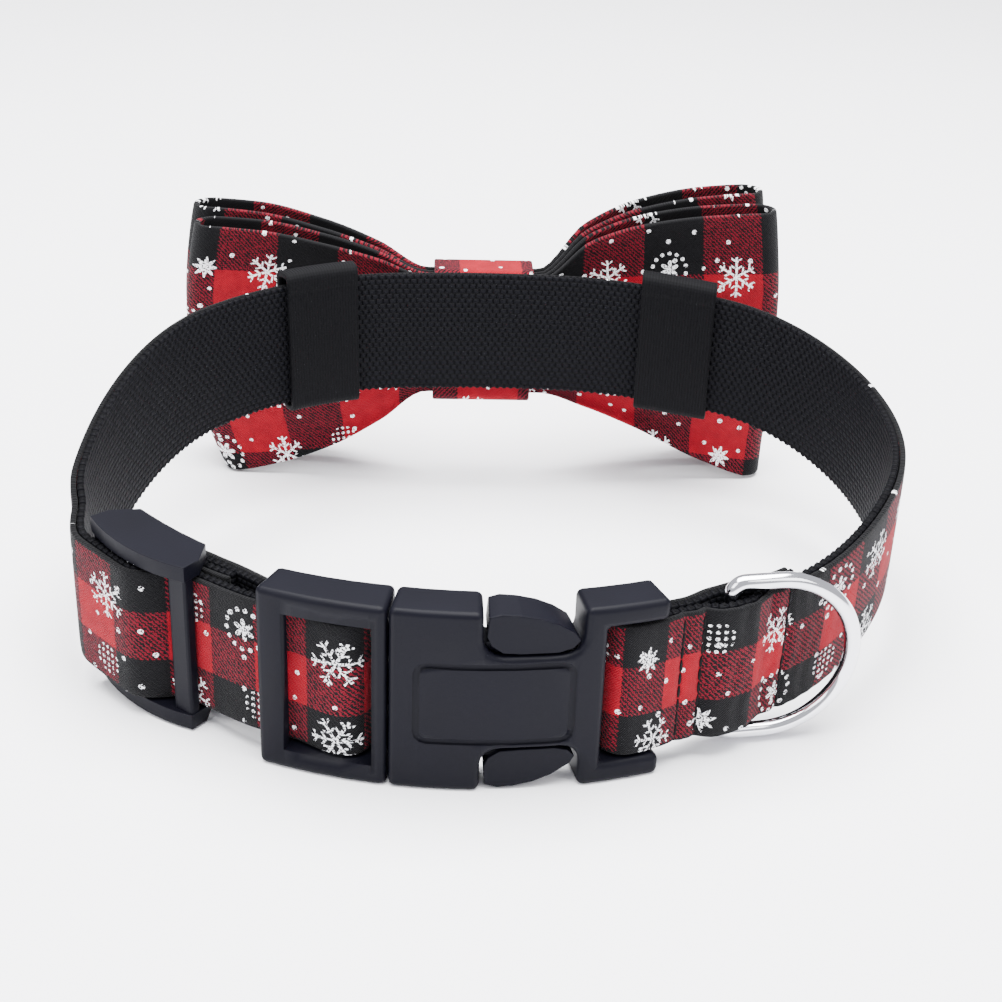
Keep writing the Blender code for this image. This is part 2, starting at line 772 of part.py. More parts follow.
def buckle_socket():
    """The half that the prongs snap into, with arms that hold the strap's fixed bar."""
    half = BUCKLE_HEIGHT / 2
    start = SEAM + GAP
    body = box("socket_body", (start, -BUCKLE_OUTER, -half), (SOCKET_END, BUCKLE_INNER, half))
    slot = box(
        "socket_slot",
        (SOCKET_END - SOCKET_SLOT, -BUCKLE_OUTER - OVERLAP, -WAY),
        (SOCKET_END + OVERLAP, BUCKLE_INNER + OVERLAP, WAY),
    )
    boolean(body, slot, "DIFFERENCE")
    for side in (-1, 1):
        low, high = sorted((side * NOTCH_FLOOR, side * (half + 2 * NOTCH_ROUND)))
        notch = box(
            f"socket_notch_{side}",
            (NOTCH_START, -BUCKLE_OUTER - OVERLAP, low),
            (NOTCH_END, BUCKLE_INNER + OVERLAP, high),
        )
        round_upright_edges(notch, NOTCH_ROUND)
        boolean(body, notch, "DIFFERENCE")
    add_bevel(body, BUCKLE_ROUND, 3, angle_deg=50.0)
    freeze(body)
    cavity = box(
        "socket_cavity",
        (start - OVERLAP, -BUCKLE_OUTER + SOCKET_WALL, CAVITY_SIDE - half),
        (CAVITY_END, BUCKLE_INNER - SOCKET_WALL, half - CAVITY_SIDE),
    )
    boolean(body, cavity, "DIFFERENCE")
    middle = SEAM + PANEL_IN + PANEL_LENGTH / 2
    height = 2 * (NOTCH_FLOOR - PANEL_MARGIN)
    groove = plate(
        "socket_groove",
        rounded_rectangle(PANEL_LENGTH, height, PANEL_ROUND),
        2 * PANEL_DEPTH,
        (middle, -BUCKLE_OUTER, 0),
        upright=True,
    )
    island = plate(
        "socket_island",
        rounded_rectangle(
            PANEL_LENGTH - 2 * PANEL_GROOVE, height - 2 * PANEL_GROOVE, PANEL_ROUND - PANEL_GROOVE
        ),
        4 * PANEL_DEPTH,
        (middle, -BUCKLE_OUTER, 0),
        upright=True,
    )
    boolean(groove, island, "DIFFERENCE")
    freeze(groove)
    boolean(body, groove, "DIFFERENCE")
    cross = bar("socket_bar", (SOCKET_BAR_AT, BUCKLE_BAR_DEPTH, 0.0), BUCKLE_BAR_RADIUS)
    boolean(body, cross, "UNION")
    freeze(body)
    thin_ends(body)
    bend(body)
    return body


def round_upright_edges(obj, radius):
    """Rounds a box's edges that run along Y, in its mesh."""
    work = bmesh.new()
    work.from_mesh(obj.data)
    edges = [
        edge
        for edge in work.edges
        if abs(edge.verts[0].co.x - edge.verts[1].co.x) < 1e-6
        and abs(edge.verts[0].co.z - edge.verts[1].co.z) < 1e-6
    ]
    bmesh.ops.bevel(work, geom=edges, offset=radius, segments=4, profile=0.5, affect="EDGES")
    work.to_mesh(obj.data)
    work.free()


# Slider


def slider():
    """The flat-backed slide: two lens-shaped rails, two end bars and a bar in the middle."""
    half = SLIDER_LENGTH / 2
    back = SLIDER_BAR_DEPTH + SLIDER_BAR_RADIUS + GAP
    rise = SLIDER_CREST - SLIDER_END_FACE
    radius = (half**2 + rise**2) / (2 * rise)
    sweep = math.degrees(math.asin(half / radius))
    outline = arc((0.0, radius - SLIDER_CREST), radius, 270 - sweep, 270 + sweep, 9)
    flank = back * SLIDER_FLANK
    foot = half - SLIDER_CHAMFER
    outline += [(half, flank), (foot, back), (-foot, back), (-half, flank)]
    body = None
    for side in (-1, 1):
        centre = side * (WAY + SLIDER_RAIL / 2)
        rail = plate(f"slider_rail_{side}", outline, SLIDER_RAIL, (SLIDER_AT, 0.0, centre), upright=False)
        add_bevel(rail, SLIDER_ROUND, 2)
        freeze(rail)
        if body is None:
            body = rail
        else:
            boolean(body, rail, "UNION")
    for side in (-1, 1):
        low, high = sorted((side * (half - SLIDER_INSET), side * (half - SLIDER_END_BAR)))
        end_bar = box(
            f"slider_end_{side}",
            (SLIDER_AT + low, -SLIDER_END_FACE + SLIDER_INSET, -WAY - SLIDER_RAIL / 2),
            (SLIDER_AT + high, -SLIDER_END_SEAT, WAY + SLIDER_RAIL / 2),
        )
        add_bevel(end_bar, SLIDER_ROUND, 2)
        freeze(end_bar)
        boolean(body, end_bar, "UNION")
    cross = bar("slider_bar", (SLIDER_AT, SLIDER_BAR_DEPTH, 0.0), SLIDER_BAR_RADIUS)
    boolean(body, cross, "UNION")
    bend(body)
    return body


# D-ring


def d_ring():
    """Ring of round wire, with its origin on the bar that the strap holds."""
    half = (STRAP_WIDTH + RING_PLAY + RING_WIRE) / 2
    points = arc((RING_CORNER, -half + RING_CORNER), RING_CORNER, 180, 270, 4)
    points += arc((RING_DEPTH - half, 0.0), half, -90, 90, 17)
    points += arc((RING_CORNER, half - RING_CORNER), RING_CORNER, 90, 180, 4)
    curve = bpy.data.curves.new("d_ring", "CURVE")
    curve.dimensions = "3D"
    curve.bevel_depth = RING_WIRE / 2
    curve.bevel_resolution = 2
    spline = curve.splines.new("POLY")
    spline.points.add(len(points) - 1)
    for point, (along, across) in zip(spline.points, points):
        point.co = (along, 0.0, across, 1.0)
    spline.use_cyclic_u = True
    obj = add_object("d_ring_wire", curve, CUTTERS)
    mesh = evaluated_mesh(obj)
    bpy.data.objects.remove(obj)
    ring = add_object("d_ring_wire", mesh, CUTTERS)
    swing = Matrix.Rotation(-math.radians(RING_SWING_DEG), 4, "Z")
    seat = Matrix.Translation((0.0, RING_BAR_DEPTH, 0.0))
    ring.matrix_world = frame_matrix(RING_AT) @ seat @ swing
    return ring


# Bow tie


def wing_value(name, along):
    """A column of the wing's table, smoothly between its stations."""
    stations = np.array([row.along for row in WING])
    values = np.array([getattr(row, name) for row in WING])
    return eased(stations, values, along, closed=False)


def bow_frame():
    """Upright placement of the bow behind the strap: X to the right, Y away from the neck."""
    origin, forward, _, _ = (array[0] for array in frames([BOW_AT]))
    out = Vector((forward[1], -forward[0], 0.0))
    right = -Vector(forward)
    matrix = Matrix.Identity(4)
    clear = COVER_FACE + 2 * GAP + STRAP_WIDTH / 2 * math.sin(LEANS[BOW_ROW])
    base = Vector((origin[0], origin[1], 0.0)) + out * clear
    for column, axis in enumerate((right, out, Vector((0, 0, 1)), base)):
        for row in range(3):
            matrix[row][column] = axis[row]
    return matrix


BOW_FRAME = np.array(bow_frame())
WAIST_HEIGHT = BUCKLE_HEIGHT / 2 + RISES[BOW_ROW] - BOW_DROP
WAIST_UP = BOW_RISE * WING[0].up_left
WAIST_DOWN = (WAIST_HEIGHT - GAP) * WING[0].down_left


def on_bow(points):
    return points @ BOW_FRAME[:3, :3].T + BOW_FRAME[:3, 3]


def bow_loop(bow):
    """One bow: a flattened loop of cloth, pinched and pleated at the knot, open at its top and bottom."""
    columns_per_lap = 14
    straight = 1 - 2 / columns_per_lap
    waist_share = WING[1].along

    def place(u, v):
        lap = np.mod(u, 1.0) * 4.0
        right = lap < 2.0
        side = np.where(right, 1.0, -1.0)
        half_width = np.where(right, bow.right, bow.left)
        end_share = 1 - (BOW_PUFF * WING[-1].puff + BOW_WAIST) / half_width
        local = np.mod(lap, 2.0)
        wall = np.where(local < 1.0, -side, side)
        reach = np.where(local < 1.0, local, 2.0 - local)
        along = np.clip(reach / straight, 0.0, 1.0) * end_share
        tip = np.clip((reach - straight) / (1 - straight), 0.0, 1.0) * math.pi / 2
        near_width = np.where(right, NEAR_BOW.right, NEAR_BOW.left)
        place_share = np.clip(along * half_width / near_width, 0.0, 1.0)
        fullness = wing_value("puff", place_share)
        puff = BOW_WAIST + BOW_PUFF * fullness
        x = half_width * along + puff * np.sin(tip)
        height = 2 * v - 1
        up = np.where(right, wing_value("up_right", along), wing_value("up_left", along)) * BOW_RISE
        free = np.clip((place_share - waist_share) / (1 - waist_share), 0.0, 1.0)
        up = up * (1 + (bow.taller - 1) * free)
        down = np.where(right, wing_value("down_right", along), wing_value("down_left", along))
        z = WAIST_HEIGHT + np.where(height > 0, up, down * (WAIST_HEIGHT - GAP)) * height
        top_tuck = np.where(right, TUCK_RIGHT.top, TUCK_LEFT.top)
        low_tuck = np.where(right, TUCK_RIGHT.bottom, TUCK_LEFT.bottom)
        tuck = 1 - np.where(height > 0, top_tuck, low_tuck) * height**2 * along
        pleat = 4 * BOW_PLEAT * free * (1 - free) * np.cos(BOW_PLEATS * math.pi * height)
        pitch = 2 * (puff + BOW_WALL / 2) + GAP + BOW_SPARE * fullness
        waist = KNOT_WALL + GAP + BOW_WAIST + BOW_WALL / 2
        middle = waist + BOW_BACK * wing_value("back", place_share) + bow.layer * pitch
        y = middle + wall * puff * np.cos(tip) + pleat
        return on_bow(np.column_stack([side * x * tuck, y, z]))

    return sheet(bow.name + "_cloth", 4 * columns_per_lap, 10, place, BOW_WALL, closed=True)


def bow_knot():
    """The band round both bows' waists."""
    depth = 4 * (BOW_WAIST + BOW_WALL / 2) + 3 * GAP + KNOT_WALL
    height = WAIST_UP + WAIST_DOWN + 2 * KNOT_SLACK + KNOT_WALL
    outline = rounded_rectangle(depth, height, KNOT_CORNER)
    middle = WAIST_HEIGHT + (WAIST_UP - WAIST_DOWN) / 2
    loop = np.array(outline + outline[:1]) + ((depth + KNOT_WALL) / 2, middle)

    def place(u, v):
        index = np.rint(u * (len(loop) - 1)).astype(int)
        x = (v - 0.5) * KNOT_WIDTH
        return on_bow(np.column_stack([x, loop[index, 0], loop[index, 1]]))

    return sheet("bow_knot", len(loop) - 1, 2, place, KNOT_WALL, closed=True)


def elastic_loop(name, at):
    """An elastic band round the strap, behind a wing of the bow."""
    wall = ELASTIC_THICKNESS
    inner = -(WEBBING_THICKNESS / 2 + GAP + wall / 2)
    outer = COVER_FACE + GAP + wall / 2
    low = -(STRAP_WIDTH / 2 + ELASTIC_LOW_SLACK + wall / 2)
    high = STRAP_WIDTH / 2 + ELASTIC_TOP_SLACK + wall / 2
    outline = rounded_rectangle(outer - inner, high - low, ELASTIC_CORNER)
    loop = np.array(outline + outline[:1]) + ((outer + inner) / 2, (high + low) / 2)

    def place(u, v):
        index = np.rint(u * (len(loop) - 1)).astype(int)
        along = at + (v - 0.5) * ELASTIC_WIDTH
        return on_run(np.column_stack([along, -loop[index, 0], loop[index, 1]]))

    return sheet(name, len(loop) - 1, 4, place, wall, closed=True)


# Assembly


def centre_on_base(objects):
    """Moves the collar so that the middle of its box's floor is at the origin."""
    bpy.context.view_layer.update()
    points = np.concatenate(
        [
            mesh_points(obj.data) @ np.array(obj.matrix_world)[:3, :3].T + np.array(obj.matrix_world)[:3, 3]
            for obj in objects
        ]
    )
    low, high = points.min(axis=0), points.max(axis=0)
    shift = Vector((-(low[0] + high[0]) / 2, -(low[1] + high[1]) / 2, -low[2]))
    for obj in objects:
        obj.matrix_world = Matrix.Translation(shift) @ obj.matrix_world


def main():
    slate = (0.028, 0.028, 0.042)
    cloth = (0.42, 0.012, 0.025)
    pieces = []
    route = strap_route()
    webbing = strap_layer("webbing_strip", route, STRAP_WIDTH, WEBBING_THICKNESS)
    pieces.append(finish(webbing, "webbing", make_material("webbing", (0.006, 0.006, 0.009), 0.8)))
    cover_route = offset_route(route, COVER_OFFSET)
    cover = strap_layer("cover_strip", cover_route, COVER_WIDTH, COVER_THICKNESS)
    pieces.append(finish(cover, "plaid_cover", make_material("plaid_cover", cloth, 0.85)))
    pieces.append(finish(buckle_plug(), "buckle_plug", make_material("buckle_plug", slate, 0.45)))
    pieces.append(finish(buckle_socket(), "buckle_socket", make_material("buckle_socket", slate, 0.45)))
    pieces.append(finish(slider(), "slider", make_material("slider", slate, 0.45)))
    pieces.append(finish(d_ring(), "d_ring", make_material("d_ring", (0.75, 0.75, 0.77), 0.12, 1.0), 60.0))
    for bow in (NEAR_BOW, FAR_BOW):
        pieces.append(finish(bow_loop(bow), bow.name, make_material(bow.name, cloth, 0.85), 60.0))
    pieces.append(finish(bow_knot(), "bow_knot", make_material("bow_knot", cloth, 0.85), 60.0))
    for name, shift in (("elastic_loop_left", ELASTIC_LEFT), ("elastic_loop_right", -ELASTIC_RIGHT)):
        loop = elastic_loop(name + "_band", BOW_AT + shift)
        pieces.append(finish(loop, name, make_material(name, (0.011, 0.011, 0.016), 0.7), 60.0))
    centre_on_base(pieces)


main()
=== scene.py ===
"""Looks of a dog collar: printed check cotton over woven webbing, moulded buckle, slide, ring and bow tie.

Lengths are metres. The collar is laid out along its run, the closed line of the strap round the neck. Cloth
is first placed flat, as distance along the run, inward and across, and is then bent onto the run.
"""

import logging
import math
from collections.abc import Callable, Sequence
from dataclasses import dataclass
from enum import Enum
from functools import partialmethod
from typing import ClassVar

import bpy
import numpy as np
from mathutils import Matrix, Vector


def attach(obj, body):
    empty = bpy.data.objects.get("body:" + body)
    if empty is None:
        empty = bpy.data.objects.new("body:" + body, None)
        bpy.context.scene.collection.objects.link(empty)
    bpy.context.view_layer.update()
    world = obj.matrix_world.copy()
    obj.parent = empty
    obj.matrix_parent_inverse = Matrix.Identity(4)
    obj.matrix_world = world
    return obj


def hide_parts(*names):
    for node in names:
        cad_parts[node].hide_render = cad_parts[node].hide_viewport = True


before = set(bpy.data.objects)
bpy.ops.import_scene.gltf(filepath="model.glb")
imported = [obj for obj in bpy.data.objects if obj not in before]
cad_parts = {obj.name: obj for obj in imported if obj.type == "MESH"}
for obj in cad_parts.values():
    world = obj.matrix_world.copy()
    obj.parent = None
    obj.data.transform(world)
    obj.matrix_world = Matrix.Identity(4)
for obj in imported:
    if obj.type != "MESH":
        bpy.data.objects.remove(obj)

LOG = logging.getLogger("collar")
SEAMS = "cross_stitches"
MM = 0.001
GAP = 0.0003
TURN = 2 * math.pi
FLAT_NOISE = {"noise_dimensions": "2D"}
COLOUR_MIX = {"data_type": "RGBA"}

LOOP_LENGTH = 0.410
STRAP_WIDTH = 0.025
WEBBING_THICKNESS = 0.0012
COVER_THICKNESS = 0.001
BACK_RISE = 0.0205
COVER_WIDTH = 0.0246
LAYER_PITCH = WEBBING_THICKNESS + GAP
COVER_OFFSET = (WEBBING_THICKNESS + COVER_THICKNESS) / 2 + GAP
COVER_FACE = COVER_OFFSET + COVER_THICKNESS / 2
SLOPE_CLEARANCE = 0.0004

BUCKLE_HEIGHT = 0.0334
BUCKLE_OUTER = 0.0033
BUCKLE_BAR_RADIUS = 0.0015
BUCKLE_BAR_DEPTH = 0.0016
PLUG_END = -0.0315
PLUG_BAR_AT = PLUG_END + 0.0137
PLUG_END_BAR = 0.0045
PLUG_END_BAR_THICKNESS = 0.0022
SOCKET_END = 0.034
SOCKET_BAR_AT = SOCKET_END - 0.005

SLIDER_LENGTH = 0.0235
SLIDER_GAP = 0.0142
SLIDER_BAR_RADIUS = 0.0012
SLIDER_END_BAR = 0.0042
SLIDER_END_SEAT = 0.002 - 0.0002 - 0.0022
SLIDER_BULGE = 0.0006
# The strap's outer leg rides over the slide's far bar and stands out in its window
SLIDER_OVER = 0.0030
SLIDER_CROWN = 0.0032
SLIDER_AT = PLUG_END - SLIDER_GAP - SLIDER_LENGTH / 2

RING_WIRE = 0.0028
RING_PLAY = 0.0014
RING_DEPTH = 0.0226
RING_CORNER = 0.0022
RING_SWING = math.radians(17.0)
RING_BULGE = 0.0018
RING_AT = SOCKET_END + 0.0135
RING_BAR_DEPTH = WEBBING_THICKNESS / 2 + GAP + RING_WIRE / 2 - RING_BULGE

# Where the middle of the buckle lies in the frame
RUN_START = np.array((-0.006129, -0.066411, 0.0))


# The run


@dataclass(frozen=True)
class Stretch:
    """One stretch of the run: its length or share of the free length, its turn, and its far end's stand."""

    name: str
    length: float
    share: float
    turn_deg: float
    rise: float
    lean_deg: float


STRETCHES = (
    Stretch("buckle_right", SOCKET_END, 0.0, 23.5, 0.0, 0.0),
    Stretch("right_front", 0.0, 0.123, 11.0, 0.02, 1.0),
    Stretch("right_side", 0.0, 0.175, 33.0, 0.28, 0.5),
    Stretch("right_back", 0.0, 0.181, 37.5, 0.46, 1.0),
    Stretch("right_corner", 0.0, 0.204, 66.5, 0.88, 2.0),
    Stretch("behind_bow_right", 0.0, 0.0, 7.0, 1.0, 3.0),
    Stretch("behind_bow_left", 0.0, 0.0, 10.0, 1.0, 3.0),
    Stretch("left_corner", 0.0, 0.217, 43.0, 0.93, 3.0),
    Stretch("left_side", 0.0, 0.0, 38.0, 0.28, 1.0),
    Stretch("slider_in", 0.0, 0.082, 46.0, 0.02, 0.0),
    Stretch("slider", SLIDER_LENGTH, 0.0, 11.0, -0.03, 0.0),
    Stretch("slider_out", SLIDER_GAP, 0.0, 11.5, 0.0, 0.0),
    Stretch("buckle_left", -PLUG_END, 0.0, 22.0, 0.0, 0.0),
)
CLOSING = (("behind_bow_right", "behind_bow_left"), ("left_side",))


def row_of(knots: np.ndarray, at: np.ndarray) -> np.ndarray:
    """Index of the interval between knots that each value falls in."""
    return np.clip(np.searchsorted(knots, at, side="right") - 1, 0, len(knots) - 2)


def eased(knots: np.ndarray, values: np.ndarray, at: np.ndarray, closed: bool) -> np.ndarray:
    """Smooth values through those at the knots, without overshoot.

    Args:
        knots: Increasing places of the known values.
        values: The known values.
        at: Places to give values for.
        closed: Whether the last knot joins the first; otherwise the ends are level.

    Returns:
        One value for each place.
    """
    lengths = np.diff(knots)
    slopes = np.diff(values) / lengths
    ends = (slopes[-1:], slopes[:1]) if closed else (np.zeros(1), np.zeros(1))
    before = np.concatenate([ends[0], slopes])
    after = np.concatenate([slopes, ends[1]])
    alike = before * after > 0
    total = np.where(alike, before + after, 1.0)
    tangents = np.where(alike, 2 * before * after / total, 0.0)
    row = row_of(knots, at)
    length = lengths[row]
    t = (at - knots[row]) / length
    start = values[row] * (1 + 2 * t) * (1 - t) ** 2 + length * tangents[row] * t * (1 - t) ** 2
    end = values[row + 1] * t**2 * (3 - 2 * t) + length * tangents[row + 1] * t**2 * (t - 1)
    return start + end


def matrix_of(*columns: Sequence[float]) -> Matrix:
    """The placement with three axes and a place as its columns."""
    matrix = Matrix.Identity(4)
    for column, axis in enumerate(columns):
        for row in range(3):
            matrix[row][column] = axis[row]
    return matrix


class NeckRun:
    """The closed line of the strap's middle, made of tangent arcs that stand and lean as the strap does."""

    def __init__(self) -> None:
        """Solves the free lengths so that the loop closes at its full length."""
        self.headings = np.radians(np.cumsum([0.0] + [piece.turn_deg for piece in STRETCHES]))
        starts, ends = self.headings[:-1], self.headings[1:]
        turns = ends - starts
        per_metre = np.column_stack(
            [
                (np.sin(ends) - np.sin(starts)) / turns,
                (np.cos(starts) - np.cos(ends)) / turns,
                np.ones(len(turns)),
            ]
        )
        fixed = np.array([piece.length for piece in STRETCHES])
        shares = np.array([piece.share for piece in STRETCHES])
        closing = [np.array([float(piece.name in names) for piece in STRETCHES]) for names in CLOSING]
        unknowns = np.column_stack([shares @ per_metre] + [column @ per_metre for column in closing])
        wanted = np.array([0.0, 0.0, LOOP_LENGTH]) - fixed @ per_metre
        scale, *solved = np.linalg.solve(unknowns, wanted)
        self.lengths = fixed + scale * shares + sum(s * column for s, column in zip(solved, closing))
        self.knots = np.concatenate([[0.0], np.cumsum(self.lengths)])
        self.rises = BACK_RISE * np.array([0.0] + [piece.rise for piece in STRETCHES])
        self.leans = np.radians([0.0] + [piece.lean_deg for piece in STRETCHES])
        steps = self.lengths[:, None] * per_metre[:, :2]
        self.corners = np.concatenate([np.zeros((1, 2)), np.cumsum(steps, axis=0)])
        self.bow_row = [piece.name for piece in STRETCHES].index("behind_bow_left")

    def frames(self, along: Sequence[float]) -> tuple[np.ndarray, ...]:
        """Origins and axes (forward, inward, across) of the run at each distance along it."""
        along = np.mod(np.asarray(along, float), LOOP_LENGTH)
        row = row_of(self.knots, along)
        start = self.headings[row]
        curve = (self.headings[row + 1] - start) / self.lengths[row]
        heading = start + curve * (along - self.knots[row])
        x = self.corners[row, 0] + (np.sin(heading) - np.sin(start)) / curve
        y = self.corners[row, 1] + (np.cos(start) - np.cos(heading)) / curve
        lean = eased(self.knots, self.leans, along, closed=True)
        zero = np.zeros_like(x)
        z = BUCKLE_HEIGHT / 2 + eased(self.knots, self.rises, along, closed=True)
        forward = np.stack([np.cos(heading), np.sin(heading), zero], -1)
        side = np.stack([-np.sin(heading), np.cos(heading), zero], -1)
        up = np.array([0.0, 0.0, 1.0])
        inward = side * np.cos(lean)[:, None] + up * np.sin(lean)[:, None]
        across = up * np.cos(lean)[:, None] - side * np.sin(lean)[:, None]
        return np.stack([x, y, z], -1) + RUN_START, forward, inward, across

    def bent(self, flat: np.ndarray) -> np.ndarray:
        """Frame points of flat points, given as along, inward and across."""
        origin, _, inward, across = self.frames(flat[:, 0])
        return origin + inward * flat[:, 1:2] + across * flat[:, 2:3]

    def placement(self, along: float) -> Matrix:
        """Rigid placement of a piece at one point of the run."""
        origin, *axes = (array[0] for array in self.frames([along]))
        return matrix_of(*axes, origin)


# Making meshes


def only(obj: bpy.types.Object) -> None:
    """Deselects everything, then selects this object and makes it active."""
    bpy.ops.object.select_all(action="DESELECT")
    obj.select_set(True)
    bpy.context.view_layer.objects.active = obj


def apply_modifiers(obj: bpy.types.Object) -> None:
    """Applies all of the object's modifiers, in order."""
    only(obj)
    for modifier in list(obj.modifiers):
        bpy.ops.object.modifier_apply(modifier=modifier.name)


def merge_points(obj: bpy.types.Object, within: float = 1e-6, turn_out: bool = True) -> None:
    """Merges doubled points and, where asked, turns the faces outwards."""
    only(obj)
    bpy.ops.object.mode_set(mode="EDIT")
    bpy.ops.mesh.select_all(action="SELECT")
    bpy.ops.mesh.remove_doubles(threshold=within)
    if turn_out:
        bpy.ops.mesh.normals_make_consistent(inside=False)
    bpy.ops.mesh.select_all(action="DESELECT")
    bpy.ops.object.mode_set(mode="OBJECT")


def path_lengths(points: np.ndarray) -> np.ndarray:
    """How far along a path each of its points lies."""
    return np.concatenate([[0.0], np.cumsum(np.linalg.norm(np.diff(points, axis=0), axis=1))])


Placer = Callable[[np.ndarray, np.ndarray], tuple[np.ndarray, np.ndarray]]


@dataclass(frozen=True)
class Cut:
    """A piece of cloth as cut: its sizes, how it is held in the collar and what it rests on."""

    width: float
    length: float
    thickness: float
    held: str
    rests_on: tuple[str, ...]

    def lay(self, name: str, columns: int, rows: int, place: Placer) -> bpy.types.Object:
        """Lays the cloth: a grid whose points are put in place, then given thickness and rounded edges.

        Args:
            name: The piece's name.
            columns: Faces along the cloth.
            rows: Faces across it.
            place: Gives points, and pattern places in metres, from the shares along and across the cloth.
        """
        bpy.ops.mesh.primitive_grid_add(x_subdivisions=columns, y_subdivisions=rows, size=2.0)
        obj = bpy.context.object
        obj.name = obj.data.name = name
        mesh = obj.data
        flat = np.empty(len(mesh.vertices) * 3, np.float32)
        mesh.vertices.foreach_get("co", flat)
        flat = flat.reshape(-1, 3).astype(float)
        points, pattern = place((flat[:, 0] + 1) / 2, (flat[:, 1] + 1) / 2)
        mesh.vertices.foreach_set("co", np.ascontiguousarray(points, np.float32).ravel())
        corner = np.empty(len(mesh.loops), np.int32)
        mesh.loops.foreach_get("vertex_index", corner)
        mesh.uv_layers[0].data.foreach_set("uv", np.ascontiguousarray(pattern[corner], np.float32).ravel())
        mesh.update()
        area = sum(face.area for face in mesh.polygons)
        merge_points(obj, turn_out=False)
        wall = obj.modifiers.new("thickness", "SOLIDIFY")
        wall.thickness = self.thickness
        wall.offset = 0.0
        wall.use_even_offset = True
        edge = obj.modifiers.new("soft_edge", "BEVEL")
        edge.width = 0.3 * self.thickness
        edge.segments = 2
        edge.limit_method = "ANGLE"
        edge.angle_limit = math.radians(65)
        apply_modifiers(obj)
        merge_points(obj, 1e-7)
        bpy.ops.object.shade_smooth_by_angle(angle=math.radians(50))
        area = min(area, self.width * self.length)
        return obj


def dress(obj: bpy.types.Object, finish: bpy.types.Material) -> None:
    """Gives a piece its one material."""
    obj.data.materials.clear()
    obj.data.materials.append(finish)
    for face in obj.data.polygons:
        face.material_index = 0


def hand_over(obj: bpy.types.Object, finish: bpy.types.Material, node: str, body: str = "collar") -> None:
    """Dresses a piece, hangs it on the body it rides on and hides the frame's node that it stands for."""
    dress(obj, finish)
    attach(obj, body)
    # The seams are extra: the webbing's own piece stands for its node
    if obj.name != SEAMS:
        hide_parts(node)
    LOG.info("%s: %d faces", obj.name, len(obj.data.polygons))


# Finishes


def linear(hex_colour: str) -> tuple[float, float, float, float]:
    """Linear RGBA of an sRGB hex colour."""
    values = [int(hex_colour[i : i + 2], 16) / 255 for i in (1, 3, 5)]
    red, green, blue = (v / 12.92 if v <= 0.04045 else ((v + 0.055) / 1.055) ** 2.4 for v in values)
    return red, green, blue, 1.0


@dataclass(frozen=True)
class Value:
    """A value that varies over a surface; reckoning with it adds Math nodes to its material."""

    socket: bpy.types.NodeSocket

    def step(self, operation: str, *operands: "Value | float") -> "Value":
        """The result of a Math operation on this value and the operands."""
        inputs = dict(enumerate((self, *operands)))
        return add_node(self.socket.id_data, "Math", {"operation": operation}, inputs)

    def scaled(self, factor: "Value | float", offset: "Value | float") -> "Value":
        """This value times a factor, plus an offset."""
        return self.step("MULTIPLY_ADD", factor, offset)

    def parts(self, *outputs: int) -> list["Value"]:
        """The values at these outputs of the node that this value comes from."""
        return [Value(self.socket.node.outputs[index]) for index in outputs]

    __add__ = partialmethod(step, "ADD")
    __sub__ = partialmethod(step, "SUBTRACT")
    __mul__ = partialmethod(step, "MULTIPLY")
    __lt__ = partialmethod(step, "LESS_THAN")
    __gt__ = partialmethod(step, "GREATER_THAN")
    __abs__ = partialmethod(step, "ABSOLUTE")


def connect(node: bpy.types.Node, inputs: dict) -> None:
    """Links each of a node's inputs, by name or index, to a value that varies, or sets it."""
    for key, value in inputs.items():
        if isinstance(value, Value):
            node.id_data.links.new(value.socket, node.inputs[key])
        else:
            node.inputs[key].default_value = value


def add_node(
    tree: bpy.types.NodeTree, kind: str, settings: dict, inputs: dict, output: int | str = 0
) -> Value:
    """Adds a node with its settings and links.

    Args:
        tree: The material's node tree.
        kind: The node's type, without its common first part.
        settings: The node's own properties.
        inputs: For an input's name or index, a value to link or to set.
        output: Name or index of the output that is wanted.

    Returns:
        The value at that output.
    """
    node = tree.nodes.new("ShaderNode" + kind)
    for name, value in settings.items():
        setattr(node, name, value)
    connect(node, inputs)
    return Value(node.outputs[output])


def start_material(name: str) -> tuple[bpy.types.Material, bpy.types.Node]:
    """A new material and its shader."""
    material = bpy.data.materials.new(name)
    material.use_nodes = True
    return material, material.node_tree.nodes["Principled BSDF"]


def cloth_place(tree: bpy.types.NodeTree) -> tuple[Value, Value, Value]:
    """The cloth's own places in millimetres: along, across and both together."""
    own = add_node(tree, "UVMap", {}, {})
    place = add_node(tree, "VectorMath", {"operation": "SCALE"}, {0: own, "Scale": 1 / MM})
    along, across = add_node(tree, "SeparateXYZ", {}, {0: place}).parts(0, 1)
    return along, across, place


@dataclass(frozen=True)
class Finish:
    """A finish of the collar and how its material is made."""

    # Dark colours and gloss lie below the real ones, because the render's tone curve lifts dark values
    name: str

    def material(self) -> bpy.types.Material:
        """Builds the material."""
        material, shader = start_material(self.name)
        relief, surface = self.look(material.node_tree)
        bump = add_node(material.node_tree, "Bump", {}, relief, "Normal")
        connect(shader, {"Normal": bump, **surface})
        return material

    def look(self, tree: bpy.types.NodeTree) -> tuple[dict, dict]:
        """The inputs of the finish's relief and of its shader."""
        raise NotImplementedError


